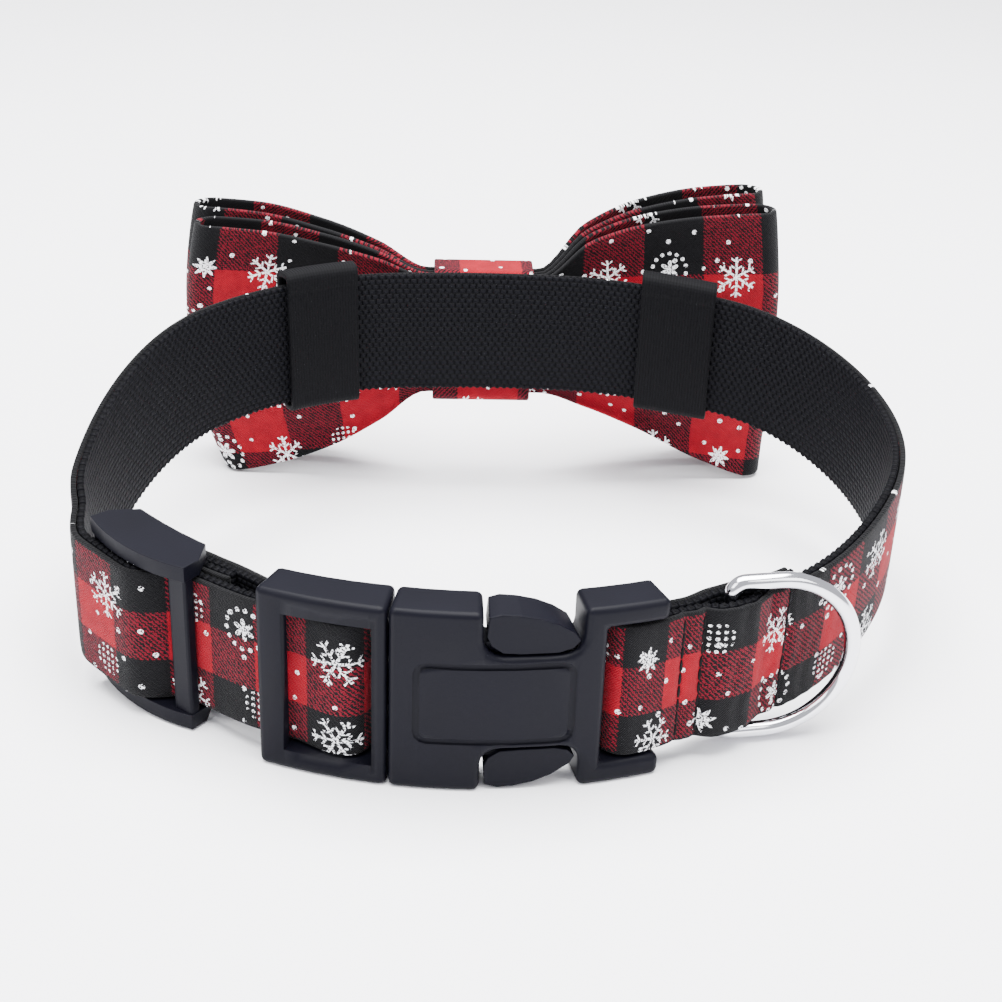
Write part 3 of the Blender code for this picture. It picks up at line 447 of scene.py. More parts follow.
@dataclass(frozen=True)
class SnowPrint:
    """The white print: large motifs, one to a cell, and scattered single dots. Sizes are in millimetres."""

    seed: float
    motif_cell: float = 14.5
    motif_stray: float = 0.22
    dot_cell: float = 6.2
    dot_stray: float = 0.6
    arm_reach: float = 4.3
    arm_half_width: float = 0.25
    twig_slope: float = 0.62
    twig_spacing: float = 0.8
    twig_half_width: float = 0.22
    twig_reach: float = 1.15
    twigs_from: float = 1.2
    twigs_to: float = 3.7
    star_waist: float = 1.0
    star_rise: float = 3.2
    beads: int = 14
    bead_ring: float = 3.7
    bead_radius: float = math.sqrt(0.2)
    petal_waist: float = 0.4
    petal_rise: float = 1.7
    fine_dot_spacing: float = 0.62
    fine_dot_radius: float = math.sqrt(0.12)
    fine_dots_reach: float = 2.9
    # Where the shares of cells with a crystal, a star and a flower in beads end; the rest hold fine dots
    choices: tuple[float, float, float] = (0.42, 0.62, 0.80)

    def cell(self, place: Value, size: float, seed: float, stray: float) -> tuple[Value, ...]:
        """Splits the cloth into cells, each with its own chance numbers and a strayed middle.

        Args:
            place: The place on the cloth in millimetres.
            size: The cells' side.
            seed: Shifts the layout.
            stray: How far a cell's middle strays, as a share of the cell.

        Returns:
            x and y from the middle in millimetres, and two chance numbers.
        """
        tree = place.socket.id_data
        shift = (seed, 0.37 * seed, 0.0)
        scale = {0: place, 1: (1 / size,) * 3, 2: shift}
        scaled = add_node(tree, "VectorMath", {"operation": "MULTIPLY_ADD"}, scale)
        whole = add_node(tree, "VectorMath", {"operation": "FLOOR"}, {0: scaled})
        inside = add_node(tree, "VectorMath", {"operation": "SUBTRACT"}, {0: scaled, 1: whole})
        chance = add_node(tree, "TexWhiteNoise", FLAT_NOISE, {"Vector": whole}, "Color")
        first, second, third = add_node(tree, "SeparateColor", {}, {0: chance}).parts(0, 1, 2)
        in_x, in_y = add_node(tree, "SeparateXYZ", {}, {0: inside}).parts(0, 1)
        middle = 0.5 * stray - 0.5
        x = (first.scaled(-stray, middle) + in_x) * size
        y = (second.scaled(-stray, middle) + in_y) * size
        return x, y, second, third

    def crystal(self, reach: Value, angle: Value) -> Value:
        """A snow crystal: six arms with two pairs of twigs each."""
        sixth = TURN / 6
        off_arm = (angle * (1 / sixth)).step("FRACT").scaled(sixth, -sixth / 2)
        along = reach * off_arm.step("COSINE")
        beside = abs(reach * off_arm.step("SINE"))
        arm = (beside < self.arm_half_width) * (along < self.arm_reach)
        slanted = beside.scaled(-self.twig_slope, along)
        near_twig = slanted.step("PINGPONG", self.twig_spacing) < self.twig_half_width
        kept = (slanted > self.twigs_from) * (slanted < self.twigs_to)
        return arm.step("MAXIMUM", near_twig * (beside < self.twig_reach) * kept)

    def flower(self, reach: Value, angle: Value) -> Value:
        """A six-petalled flower in a ring of beads."""
        off_bead = ((angle * (self.beads / TURN)).step("FRACT") - 0.5) * reach * (TURN / self.beads)
        off_ring = reach - self.bead_ring
        beads = off_ring * off_ring + off_bead * off_bead < self.bead_radius**2
        edge = abs((angle * 3.0).step("COSINE")).scaled(self.petal_rise, self.petal_waist)
        return beads.step("MAXIMUM", reach < edge)

    def motifs(self, place: Value) -> Value:
        """The large print: crystals, eight-pointed stars, flowers in beads and rounds of fine dots."""
        x, y, choice, spin = self.cell(place, self.motif_cell, self.seed, self.motif_stray)
        reach = (x * x + y * y).step("SQRT")
        angle = spin.scaled(TURN, y.step("ARCTAN2", x))
        point = (angle * (8 / TURN)).step("PINGPONG", 0.5)
        star = reach < point.scaled(self.star_rise, self.star_waist)
        dot_x, dot_y = (value.step("PINGPONG", self.fine_dot_spacing) for value in (x, y))
        fine = (dot_x * dot_x + dot_y * dot_y < self.fine_dot_radius**2) * (reach < self.fine_dots_reach)
        first, second, third = (choice < limit for limit in self.choices)
        rest = third.scaled(-1.0, 1.0)
        large = self.crystal(reach, angle) * first + star * (second - first)
        return large + self.flower(reach, angle) * (third - second) + fine * rest

    def dots(self, place: Value) -> Value:
        """The scattered single dots, 0.8 to 1.1 mm wide, missing from some cells."""
        x, y, _, chance = self.cell(place, self.dot_cell, 0.41 + self.seed, self.dot_stray)
        return (x * x + y * y < chance.scaled(0.2, 0.12)) * (chance > 0.22)

    def ink(self, place: Value) -> Value:
        """The whole print."""
        return self.motifs(place).step("MAXIMUM", self.dots(place))


@dataclass(frozen=True)
class CheckCotton(Finish):
    """Yarn-dyed check cotton, plain and twill woven, screen printed in white.

    The check's bands are solid where both yarns match and a fine slanting mixture where they cross. The
    print is chalky and slightly broken. Sizes are in millimetres.
    """

    band_along: float
    band_across: float
    repeat_across: float
    start_along: float
    start_across: float
    print_seed: float
    red_deep: str = "#6A0010"
    red_bright: str = "#8E0018"
    red_crossed: str = "#560317"
    black: str = "#020204"
    print_white: str = "#F2F2F4"
    # Real yarns lie about 0.3 mm apart; the slanting mixture is drawn at 0.9 mm so that it shows
    twill: float = 0.92
    thread: float = 0.5
    wear: float = 0.42
    # Past this distance from the middle the ribbon is its black selvedge
    selvedge: float = 1000.0

    def check(self, u: Value, v: Value) -> tuple[Value, Value, Value, Value]:
        """The red of the check, how many of the two yarns are red, the twill's slant and the threads."""
        column = u.scaled(0.5 / self.band_along, self.start_along).step("FRACT") < 0.5
        share = self.band_across / self.repeat_across
        row = v.scaled(1 / self.repeat_across, self.start_across).step("FRACT") < share
        both = column + row
        slant = ((u + v) * (TURN / self.twill)).step("SINE")
        steps = (v * (2 * TURN / self.twill)).step("SINE")
        twill = steps.scaled(0.45, slant) > 0.12
        # Red where both yarns are, and on the twill's own lines where one is
        red = (twill.scaled(0.5, both) > 1.25) * (abs(v) < self.selvedge)
        threads = (u * (TURN / self.thread)).step("SINE") * (v * (TURN / self.thread)).step("SINE")
        return red, both, slant, threads

    def look(self, tree: bpy.types.NodeTree) -> tuple[dict, dict]:
        """Dull cloth with the check in it and the print's slight thickness on it."""
        u, v, place = cloth_place(tree)
        # Yarns wander a little, so no band's edge is ruled
        wander = add_node(tree, "TexNoise", FLAT_NOISE, {"Vector": place, "Scale": 1.9, "Detail": 2.0}) - 0.5
        red, both, slant, threads = self.check(*(wander.scaled(0.55, way) for way in (u, v)))
        shade = add_node(tree, "TexNoise", FLAT_NOISE, {"Vector": place, "Scale": 0.35, "Detail": 4.0})
        crack = add_node(tree, "TexNoise", FLAT_NOISE, {"Vector": place, "Scale": 2.6, "Detail": 3.0})
        ink = SnowPrint(self.print_seed).ink(place) * (crack > self.wear)
        # Where the yarns cross, the red sinks between the black ones and reads darker
        crossed = both.scaled(-0.5, 1.0) * 1.6
        colour = linear(self.red_deep)
        for factor, over, under in (
            (shade, linear(self.red_bright), None),
            (crossed, linear(self.red_crossed), None),
            (red, None, linear(self.black)),
            (ink, linear(self.print_white), None),
        ):
            mixed = {"Factor": factor, "A": under or colour, "B": over or colour}
            colour = add_node(tree, "Mix", COLOUR_MIX, mixed, "Result")
        height = ink.scaled(0.4, slant.scaled(0.4, threads))
        relief = {"Strength": 0.55, "Distance": 0.14 * MM, "Height": height}
        gloss = {"Roughness": 0.85, "IOR": 1.5, "Specular IOR Level": 0.12, "Sheen Weight": 0.04}
        return relief, {"Base Color": colour, **gloss}


@dataclass(frozen=True)
class WovenWebbing(Finish):
    """Heavy polypropylene webbing: short plump floats in staggered rows, dull with a faint glint."""

    name: str = "polypropylene_webbing_woven"
    # Colour of the floats' tops, lighter than the gaps as a painted highlight
    light: str = "#0B0B10"
    # Colour of the gaps between floats: painted shade
    gap_painted_shade: str = "#020203"
    float_length: float = 1.45
    float_width: float = 1.05
    yarn: float = 0.26

    def look(self, tree: bpy.types.NodeTree) -> tuple[dict, dict]:
        """Each float is a plump oval with fine yarns across it, its top painted lighter as a painted
        highlight and the gaps between floats painted darker as painted shade.
        """
        u, v, place = cloth_place(tree)
        wander = add_node(tree, "TexNoise", FLAT_NOISE, {"Vector": place, "Scale": 0.8, "Detail": 2.0})
        rows = v * (1 / self.float_width)
        stagger = rows.step("FLOOR") * 0.5
        floats = (u + wander.scaled(0.5, -0.25)).scaled(1 / self.float_length, stagger)
        domes = []
        for way in (floats, rows):
            side = way.step("FRACT").scaled(2.0, -1.0)
            domes.append((side * side).scaled(-1.0, 1.0))
        plump = (domes[0] * domes[1]).step("SQRT")
        height = (v * (TURN / self.yarn)).step("SINE").scaled(0.06, plump)
        # The colour follows each float's height: painted highlight on its top, painted shade in the gaps
        mixed = {"Factor": plump, "A": linear(self.gap_painted_shade), "B": linear(self.light)}
        colour = add_node(tree, "Mix", COLOUR_MIX, mixed, "Result")
        relief = {"Strength": 1.0, "Distance": 0.5 * MM, "Height": height}
        return relief, {"Base Color": colour, "Roughness": 0.6, "IOR": 1.49, "Specular IOR Level": 0.06}


@dataclass(frozen=True)
class RibbedElastic(Finish):
    """Braided elastic of rubber and polyester: fine ribs that run round the strap, matt black."""

    name: str = "elastic_braided"
    colour: str = "#050508"
    # Colour of the grooves between the ribs: painted shade
    groove_painted_shade: str = "#020203"
    rib: float = 0.62
    braid: float = 0.5

    def look(self, tree: bpy.types.NodeTree) -> tuple[dict, dict]:
        """Rounded ribs with grooves painted darker as painted shade, and the braid's faint rise and fall
        along them.
        """
        u, v, _ = cloth_place(tree)
        ribs = abs((v * (math.pi / self.rib)).step("SINE"))
        height = (u * (TURN / self.braid)).step("SINE").scaled(0.12, ribs)
        # The colour follows the ribs' height: painted shade in the grooves
        mixed = {"Factor": ribs, "A": linear(self.groove_painted_shade), "B": linear(self.colour)}
        colour = add_node(tree, "Mix", COLOUR_MIX, mixed, "Result")
        relief = {"Strength": 0.5, "Distance": 0.16 * MM, "Height": height}
        return relief, {"Base Color": colour, "Roughness": 0.78, "IOR": 1.5, "Specular IOR Level": 0.1}


@dataclass(frozen=True)
class MouldedAcetal(Finish):
    """Acetal copolymer, injection moulded in a lightly spark-eroded tool: slate, with a soft even sheen."""

    name: str = "acetal_moulded"
    colour: str = "#07070D"
    worn: str = "#0B0B13"
    roughness: float = 0.46
    # Grain of the tool, about 0.1 mm, drawn at 0.25 mm so that it shows
    grain: float = 0.25

    def look(self, tree: bpy.types.NodeTree) -> tuple[dict, dict]:
        """A fine grain, and a sheen that clouds a little from place to place."""
        place = add_node(tree, "TexCoord", {}, {}, "Object")
        cloud, grain = (
            add_node(tree, "TexNoise", {}, {"Vector": place, "Scale": scale, "Detail": detail})
            for scale, detail in ((90.0, 4.0), (1 / (self.grain * MM), 2.0))
        )
        mixed = {"Factor": cloud, "A": linear(self.colour), "B": linear(self.worn)}
        colour = add_node(tree, "Mix", COLOUR_MIX, mixed, "Result")
        span = {"Value": cloud, "To Min": self.roughness - 0.05, "To Max": self.roughness + 0.07}
        gloss = add_node(tree, "MapRange", {}, span)
        relief = {"Strength": 0.22, "Distance": 0.06 * MM, "Height": grain}
        return relief, {"Base Color": colour, "Roughness": gloss, "IOR": 1.48, "Specular IOR Level": 0.08}


@dataclass(frozen=True)
class PolishedNickel(Finish):
    """Steel wire, bent, welded and bright nickel plated: a mirror with the faintest waviness."""

    name: str = "nickel_plated_polished"
    colour: str = "#D9D9DE"

    def look(self, tree: bpy.types.NodeTree) -> tuple[dict, dict]:
        """Slow waves, some millimetres long, in both the surface and its gloss."""
        place = add_node(tree, "TexCoord", {}, {}, "Object")
        wave = add_node(tree, "TexNoise", {}, {"Vector": place, "Scale": 260.0, "Detail": 2.0})
        gloss = add_node(tree, "MapRange", {}, {"Value": wave, "To Min": 0.07, "To Max": 0.16})
        relief = {"Strength": 0.12, "Distance": 0.08 * MM, "Height": wave}
        return relief, {"Base Color": linear(self.colour), "Metallic": 1.0, "Roughness": gloss}


@dataclass(frozen=True)
class SpunThread(Finish):
    """Spun polyester sewing thread: black, with a fine slanting twist."""

    name: str = "polyester_thread_spun"
    colour: str = "#020203"

    def look(self, tree: bpy.types.NodeTree) -> tuple[dict, dict]:
        """The twist of the thread, as slanting ridges."""
        place = add_node(tree, "TexCoord", {}, {}, "Object")
        ridges = {"Vector": place, "Scale": 800.0, "Distortion": 0.5}
        twist = add_node(tree, "TexWave", {"bands_direction": "DIAGONAL"}, ridges, "Fac")
        relief = {"Strength": 0.4, "Distance": 0.08 * MM, "Height": twist}
        return relief, {"Base Color": linear(self.colour), "Roughness": 0.6, "Specular IOR Level": 0.1}


# Strap


def leg(stops: Sequence[tuple[float, float]], step: float) -> list[tuple[float, float]]:
    """Points of a stretch through its stops (along, outward), eased level at each one."""
    points = []
    for (start, out_start), (end, out_end) in zip(stops[:-1], stops[1:]):
        count = max(2, round(abs(end - start) / step))
        for index in range(count):
            t = index / count
            rise = t * t * (3 - 2 * t)
            points.append((start + (end - start) * t, out_start + (out_end - out_start) * rise))
    points.append(tuple(stops[-1]))
    return points


def turn_round(at: float, outward: float, radius: float, start_deg: float) -> list[tuple[float, float]]:
    """Points of a half turn, clockwise, round a bar."""
    angles = np.radians(np.linspace(start_deg, start_deg - 180, 19))[1:]
    return [(at + radius * math.cos(a), outward + radius * math.sin(a)) for a in angles]


@dataclass
class Strap:
    """The webbing, the printed cotton sewn to its outer face, and the seams across them."""

    run: NeckRun
    webbing_step: float = 0.00036
    cover_step: float = 0.0007
    scallop_pitch: float = 0.00145
    scallop: float = 0.0002
    edge_share: float = 0.2
    # Lengths of the ends and of the slopes beside the bars and the ring
    tail: float = 0.014
    short_tail: float = 0.004
    inner_ramp: float = 0.006
    outer_ramp: float = 0.005
    bar_ramp: float = 0.009
    ripple: float = 0.00009
    ripple_pitch: float = 0.0031
    ripple_before: float = 0.006
    ripple_after: float = 0.012
    hem_drop: float = 0.00012
    hem_share: float = 0.14
    seams_at: tuple[float, ...] = (0.0375, 0.0412, 0.0583)
    seam_depth: float = 0.0005
    seam_spread: float = 0.0007
    # Where the cloth's own measure falls along the strap: it is gathered by the seams near the ring
    gathers: tuple[tuple[float, float], ...] = (
        (0.0270, 0.0254),
        (0.0342, 0.0350),
        (0.0413, 0.0446),
        (0.0509, 0.0542),
        (0.0589, 0.0638),
        (0.0680, 0.0734),
        (0.3904, 0.3904),
    )
    stitch_length: float = 0.0024
    stitch_pitch: float = 0.0025
    stitch_radius: float = 0.0003

    def route(self, step: float) -> np.ndarray:
        """The webbing's middle, from the sewn tail at the socket to the short tail at the slider."""
        buckle_turn = BUCKLE_BAR_RADIUS + GAP + WEBBING_THICKNESS / 2
        slider_turn = SLIDER_BAR_RADIUS + GAP + WEBBING_THICKNESS / 2
        covered_pitch = LAYER_PITCH + COVER_THICKNESS + GAP + SLOPE_CLEARANCE
        slider_dip = SLIDER_END_SEAT - GAP - COVER_FACE
        slider_bar_depth = -(SLIDER_BULGE - covered_pitch - slider_turn)
        plug_dip = -(COVER_FACE + GAP - (BUCKLE_OUTER - PLUG_END_BAR_THICKNESS))
        ring_below = -(RING_BAR_DEPTH + RING_WIRE / 2 + GAP + WEBBING_THICKNESS / 2)
        ring_start, ring_end = RING_AT - RING_WIRE / 2 - GAP, RING_AT + RING_WIRE / 2 + GAP
        inner = -LAYER_PITCH - GAP
        points = leg(
            [
                (RING_AT + self.tail, inner), (ring_end + self.inner_ramp, inner), (ring_end, ring_below),
                (ring_start, ring_below), (ring_start - self.inner_ramp, inner),
                (SOCKET_BAR_AT + self.bar_ramp, inner),
                (SOCKET_BAR_AT, -(BUCKLE_BAR_DEPTH + buckle_turn)),
            ],
            step,
        )
        points += turn_round(SOCKET_BAR_AT, -BUCKLE_BAR_DEPTH, buckle_turn, 270)
        slider, half = LOOP_LENGTH + SLIDER_AT, SLIDER_LENGTH / 2
        window = half - SLIDER_END_BAR
        plug_end, plug_bar = LOOP_LENGTH + PLUG_END, LOOP_LENGTH + PLUG_BAR_AT
        points += leg(
            [
                (SOCKET_BAR_AT, -(BUCKLE_BAR_DEPTH - buckle_turn)), (SOCKET_BAR_AT + self.bar_ramp, 0.0),
                (ring_start - self.outer_ramp, 0.0), (ring_start, RING_BULGE), (ring_end, RING_BULGE),
                (ring_end + self.outer_ramp, 0.0), (slider - half - self.bar_ramp, 0.0),
                (slider - half, SLIDER_OVER),
                (slider - window, SLIDER_OVER), (slider, SLIDER_CROWN), (slider + window, slider_dip),
                (slider + half, slider_dip), (plug_end, plug_dip), (plug_end + PLUG_END_BAR, plug_dip),
                (plug_bar, -(BUCKLE_BAR_DEPTH - buckle_turn)),
            ],
            step,
        )[1:]
        points += turn_round(plug_bar, -BUCKLE_BAR_DEPTH, buckle_turn, 90)
        tail_dip = slider_dip - covered_pitch
        inner_dip = tail_dip - LAYER_PITCH - GAP / 2
        points += leg(
            [
                (plug_bar, -(BUCKLE_BAR_DEPTH + buckle_turn)),
                (plug_end + PLUG_END_BAR, -(BUCKLE_BAR_DEPTH + buckle_turn)), (slider + half, inner_dip),
                (slider + window, inner_dip), (slider, -(slider_bar_depth + slider_turn)),
            ],
            step,
        )[1:]
        points += turn_round(slider, -slider_bar_depth, slider_turn, 270)
        points += leg(
            [
                (slider, -(slider_bar_depth - slider_turn)), (slider + window, tail_dip),
                (slider + half + self.short_tail, tail_dip),
            ],
            step,
        )[1:]
        return np.array(points)

    def build_webbing(self) -> bpy.types.Object:
        """The webbing, with the small scallops that its weft makes along both edges."""
        route = self.route(self.webbing_step)
        measured = path_lengths(route)

        def place(u: np.ndarray, v: np.ndarray) -> tuple[np.ndarray, np.ndarray]:
            index = np.rint(u * (len(route) - 1)).astype(int)
            edge = np.clip((np.abs(2 * v - 1) - 1 + self.edge_share) / self.edge_share, 0, 1)
            wave = self.scallop * np.cos(TURN * measured[index] / self.scallop_pitch) * edge
            across = (v - 0.5) * STRAP_WIDTH + np.sign(v - 0.5) * wave
            flat = np.column_stack([route[index, 0], -route[index, 1], across])
            return self.run.bent(flat), np.column_stack([measured[index], across])

        rests_on = ("buckle_socket_body", "buckle_plug_body", "slider_body")
        cut = Cut(STRAP_WIDTH, float(measured[-1]), WEBBING_THICKNESS, "folded", rests_on)
        return cut.lay("webbing_strap", len(route) - 1, 10, place)

    def build_cover(self) -> bpy.types.Object:
        """The printed cotton, drawn in at the seams and softly gathered between them."""
        middle = self.route(self.cover_step)
        steps = np.gradient(middle, axis=0)
        steps /= np.linalg.norm(steps, axis=1)[:, None]
        left = np.column_stack([-steps[:, 1], steps[:, 0]])
        route = middle + COVER_OFFSET * left
        measured = path_lengths(route)
        # The point where the strap leaves the socket's bar on its outer side
        outer = int(np.argmin(np.abs(middle[:, 0] - SOCKET_BAR_AT) + 10 * (middle[:, 1] < 0)))
        real, printed = zip(*self.gathers)
        spot_along = measured - measured[outer] + SOCKET_BAR_AT
        pattern = np.interp(spot_along, real, printed)
        pattern = np.where(spot_along < real[0], printed[0] + spot_along - real[0], pattern)
        pattern = np.where(spot_along > real[-1], printed[-1] + spot_along - real[-1], pattern)
        first, last = self.seams_at[0] - self.ripple_before, self.seams_at[-1] + self.ripple_after

        def place(u: np.ndarray, v: np.ndarray) -> tuple[np.ndarray, np.ndarray]:
            index = np.rint(u * (len(route) - 1)).astype(int)
            along = route[index, 0]
            outside = index > outer
            dip = sum(np.exp(-(((along - at) / self.seam_spread) ** 2)) for at in self.seams_at)
            gather = np.exp(-(((along - (first + last) / 2) / (0.5 * (last - first))) ** 4))
            ripple = np.sin(TURN * along / self.ripple_pitch + 2.2 * np.sin(9 * v)) * gather
            lift = np.where(outside, self.ripple * ripple - self.seam_depth * dip, 0.0)
            edge = np.clip((np.abs(2 * v - 1) - 1 + self.hem_share) / self.hem_share, 0, 1)
            spot = route[index] + (lift - self.hem_drop * edge)[:, None] * left[index]
            across = (v - 0.5) * COVER_WIDTH
            flat = np.column_stack([spot[:, 0], -spot[:, 1], across])
            return self.run.bent(flat), np.column_stack([pattern[index], across])

        cut = Cut(COVER_WIDTH, float(measured[-1]), COVER_THICKNESS, "laid", ("webbing_strap",))
        return cut.lay("printed_cover", len(route) - 1, 18, place)

    def build_stitches(self) -> bpy.types.Object:
        """The three seams across the strap, each a row of equal stitches."""
        count = int(COVER_WIDTH / self.stitch_pitch)
        made = []
        for at in self.seams_at:
            spot = self.run.placement(at)
            for index in range(count):
                up = (index - (count - 1) / 2) * self.stitch_pitch
                out = -(COVER_FACE - self.seam_depth + 0.3 * self.stitch_radius + self.bulge(at))
                bpy.ops.mesh.primitive_uv_sphere_add(segments=10, ring_count=8, radius=self.stitch_radius)
                stitch = bpy.context.object
                long = Matrix.Diagonal((1.0, 1.0, 0.5 * self.stitch_length / self.stitch_radius, 1.0))
                stitch.data.transform(spot @ Matrix.Translation((0.0, out, up)) @ long)
                made.append(stitch)
        bpy.ops.object.select_all(action="DESELECT")
        for stitch in made:
            stitch.select_set(True)
        bpy.context.view_layer.objects.active = made[0]
        bpy.ops.object.join()
        obj = bpy.context.object
        obj.name = obj.data.name = SEAMS
        bpy.ops.object.shade_smooth()
        return obj

    def bulge(self, at: float) -> float:
        """How far the strap stands out over the ring's bar at a place along the run."""
        near = max(0.0, 1 - max(0.0, abs(at - RING_AT) - RING_WIRE / 2 - GAP) / self.outer_ramp)
        return RING_BULGE * near * near * (3 - 2 * near)

    def make(
        self, cotton: bpy.types.Material, webbing: bpy.types.Material, thread: bpy.types.Material
    ) -> None:
        """Builds and dresses the strap's pieces."""
        for obj, finish, node in (
            (self.build_webbing(), webbing, "webbing"),
            (self.build_cover(), cotton, "plaid_cover"),
            (self.build_stitches(), thread, "webbing"),
        ):
            hand_over(obj, finish, node)


# Bow tie


class Layer(Enum):
    """Which of the two stacked bows a cloth is."""

    NEAR = 0
    FAR = 1


@dataclass(frozen=True)
class Wing:
    """One station of a bow's wings, from the knot to their ends, as shares of the bow's sizes."""

    along: float
    up_left: float
    up_right: float
    down_left: float
    down_right: float
    puff: float
    back: float


WING = (
    Wing(0.00, 0.50, 0.50, 0.36, 0.36, 0.00, 0.00),
    Wing(0.19, 0.50, 0.50, 0.36, 0.36, 0.00, 0.00),
    Wing(0.36, 0.62, 0.79, 0.58, 0.46, 0.50, 0.30),
    Wing(0.55, 0.72, 0.92, 0.78, 0.62, 0.85, 0.60),
    Wing(0.78, 0.80, 0.98, 0.93, 0.86, 1.00, 0.90),
    Wing(1.00, 0.82, 1.00, 1.00, 1.00, 0.90, 1.00),
)


def wing_value(name: str, along: np.ndarray) -> np.ndarray:
    """A column of the wings' table, smoothly between its stations."""
    stations = np.array([row.along for row in WING])
    return eased(stations, np.array([getattr(row, name) for row in WING]), along, closed=False)


@dataclass
class BowTie:
    """Two flattened loops of cloth, stacked and pinched by a knot, held to the strap by elastic."""

    # Each bow's left and right wing and its height, as shares of the near bow's right wing and height
    shares: ClassVar[dict[Layer, tuple[float, float, float]]] = {
        Layer.NEAR: (0.985, 1.0, 1.0),
        Layer.FAR: (1.005, 0.975, 1.06),
    }
    run: NeckRun
    shift: float = 0.0154
    wing: float = 0.064
    rise: float = 0.029
    drop: float = 0.0043
    wall: float = 0.0012
    puff: float = 0.0026
    waist: float = 0.0011
    pleat: float = 0.0009
    pleats: float = 2.5
    back: float = 0.0045
    spare: float = 0.0008
    crease: float = 0.00055
    crease_fade: float = 3.2
    # Share of a half loop's width that turns round its tip, and how far the tips are tucked in
    tip_share: float = 2 / 14
    tuck_top: float = 0.045
    tuck_low_left: float = 0.12
    tuck_low_right: float = 0.01
    bow_width: float = 0.0605
    front_start: float = 0.0065
    knot_width: float = 0.021
    knot_wall: float = 0.0012
    knot_slack: float = 0.0005
    knot_bulge: float = 0.0007
    knot_start: float = 0.004
    corner: float = 0.0013
    corner_points: int = 7
    loop_points: int = 145
    elastic_width: float = 0.0155
    elastic_wall: float = 0.0012
    elastic_left: float = 0.0345
    elastic_right: float = 0.0405
    elastic_top: float = 0.0016
    elastic_low: float = 0.0008
    fold_step: float = 0.00035
    fold_length: float = 0.0032
    fold_slope: float = 0.00016

    def __post_init__(self) -> None:
        """Works out the bow's place behind the strap and the heights of its waist."""
        self.at = self.run.knots[self.run.bow_row] + self.shift
        origin, forward, _, _ = (array[0] for array in self.run.frames([self.at]))
        self.out = np.array((forward[1], -forward[0], 0.0))
        self.right = -forward
        lean = self.run.leans[self.run.bow_row]
        clear = COVER_FACE + 2 * GAP + STRAP_WIDTH / 2 * math.sin(lean)
        self.base = np.array((origin[0], origin[1], 0.0)) + self.out * clear
        self.waist_height = BUCKLE_HEIGHT / 2 + self.run.rises[self.run.bow_row] - self.drop
        self.waist_up = self.rise * WING[0].up_left
        self.waist_down = (self.waist_height - GAP) * WING[0].down_left

    def placed(self, x: np.ndarray, y: np.ndarray, z: np.ndarray) -> np.ndarray:
        """Frame points from right, away from the neck and up."""
        up = np.array((0.0, 0.0, 1.0))
        return self.base + x[:, None] * self.right + y[:, None] * self.out + z[:, None] * up

    def build_bow(self, layer: Layer) -> bpy.types.Object:
        """One bow, open at its top and bottom, with creases that fan out from the knot."""
        near_left, near_right, _ = (share * self.wing for share in self.shares[Layer.NEAR])
        left_size, right_size = (share * self.wing for share in self.shares[layer][:2])
        taller = self.shares[layer][2]
        straight = 1 - self.tip_share
        waist_share = WING[1].along

        def place(u: np.ndarray, v: np.ndarray) -> tuple[np.ndarray, np.ndarray]:
            lap = np.mod(u, 1.0) * 4.0
            right = lap < 2.0
            side = np.where(right, 1.0, -1.0)
            half_width = np.where(right, right_size, left_size)
            end_share = 1 - (self.puff * WING[-1].puff + self.waist) / half_width
            local = np.mod(lap, 2.0)
            wall = np.where(local < 1.0, -side, side)
            reach = np.where(local < 1.0, local, 2.0 - local)
            along = np.clip(reach / straight, 0.0, 1.0) * end_share
            tip = np.clip((reach - straight) / (1 - straight), 0.0, 1.0) * math.pi / 2
            share = np.clip(along * half_width / np.where(right, near_right, near_left), 0.0, 1.0)
            fullness = wing_value("puff", share)
            puff = self.waist + self.puff * fullness
            x = half_width * along + puff * np.sin(tip)
            height = 2 * v - 1
            up = np.where(right, wing_value("up_right", along), wing_value("up_left", along)) * self.rise
            free = np.clip((share - waist_share) / (1 - waist_share), 0.0, 1.0)
            up = up * (1 + (taller - 1) * free)
            down = np.where(right, wing_value("down_right", along), wing_value("down_left", along))
            z = self.waist_height + np.where(height > 0, up, down * (self.waist_height - GAP)) * height
            low = np.where(right, self.tuck_low_right, self.tuck_low_left)
            tuck = 1 - np.where(height > 0, self.tuck_top, low) * height**2 * along
            fold = 4 * self.pleat * free * (1 - free) * np.cos(self.pleats * math.pi * height)
            # Two uneven waves, so that no two creases are alike
            fan = np.sin(9 * height + 2.3 * side) + 0.6 * np.sin(17 * height - 4 * along)
            crease = 4 * self.crease * free * np.exp(-self.crease_fade * free) * fan
            pitch = 2 * (puff + self.wall / 2) + GAP + self.spare * fullness
            waist = self.knot_wall + GAP + self.waist + self.wall / 2
            middle = waist + self.back * wing_value("back", share) + layer.value * pitch
            y = middle + wall * puff * np.cos(tip) + fold + crease
            unrolled = np.where(wall < 0, side * x, side * (2 * half_width - x) + self.front_start)
            pattern_up = 0.6 * (z - self.waist_height) + 0.4 * height * self.rise
            return self.placed(side * x * tuck, y, z), np.column_stack([unrolled, pattern_up])

        name = "bow_near_cloth" if layer is Layer.NEAR else "bow_far_cloth"
        cut = Cut(self.bow_width, 2 * (left_size + right_size), self.wall, "gathered", ("knot_band",))
        return cut.lay(name, 168, 40, place)

    def outline(self, width: float, height: float) -> np.ndarray:
        """A closed rounded rectangle round its middle: evenly spaced points and how far along each lies."""
        radius = self.corner
        points = []
        for corner, (sx, sy) in enumerate(((1, 1), (-1, 1), (-1, -1), (1, -1))):
            cx, cy = sx * (width / 2 - radius), sy * (height / 2 - radius)
            for angle in np.radians(np.linspace(90 * corner, 90 * corner + 90, self.corner_points)):
                points.append((cx + radius * math.cos(angle), cy + radius * math.sin(angle)))
        points.append(points[0])
        corners = np.array(points)
        measured = path_lengths(corners)
        places = np.linspace(0, measured[-1], self.loop_points)
        return np.column_stack([np.interp(places, measured, corners[:, i]) for i in (0, 1)] + [places])

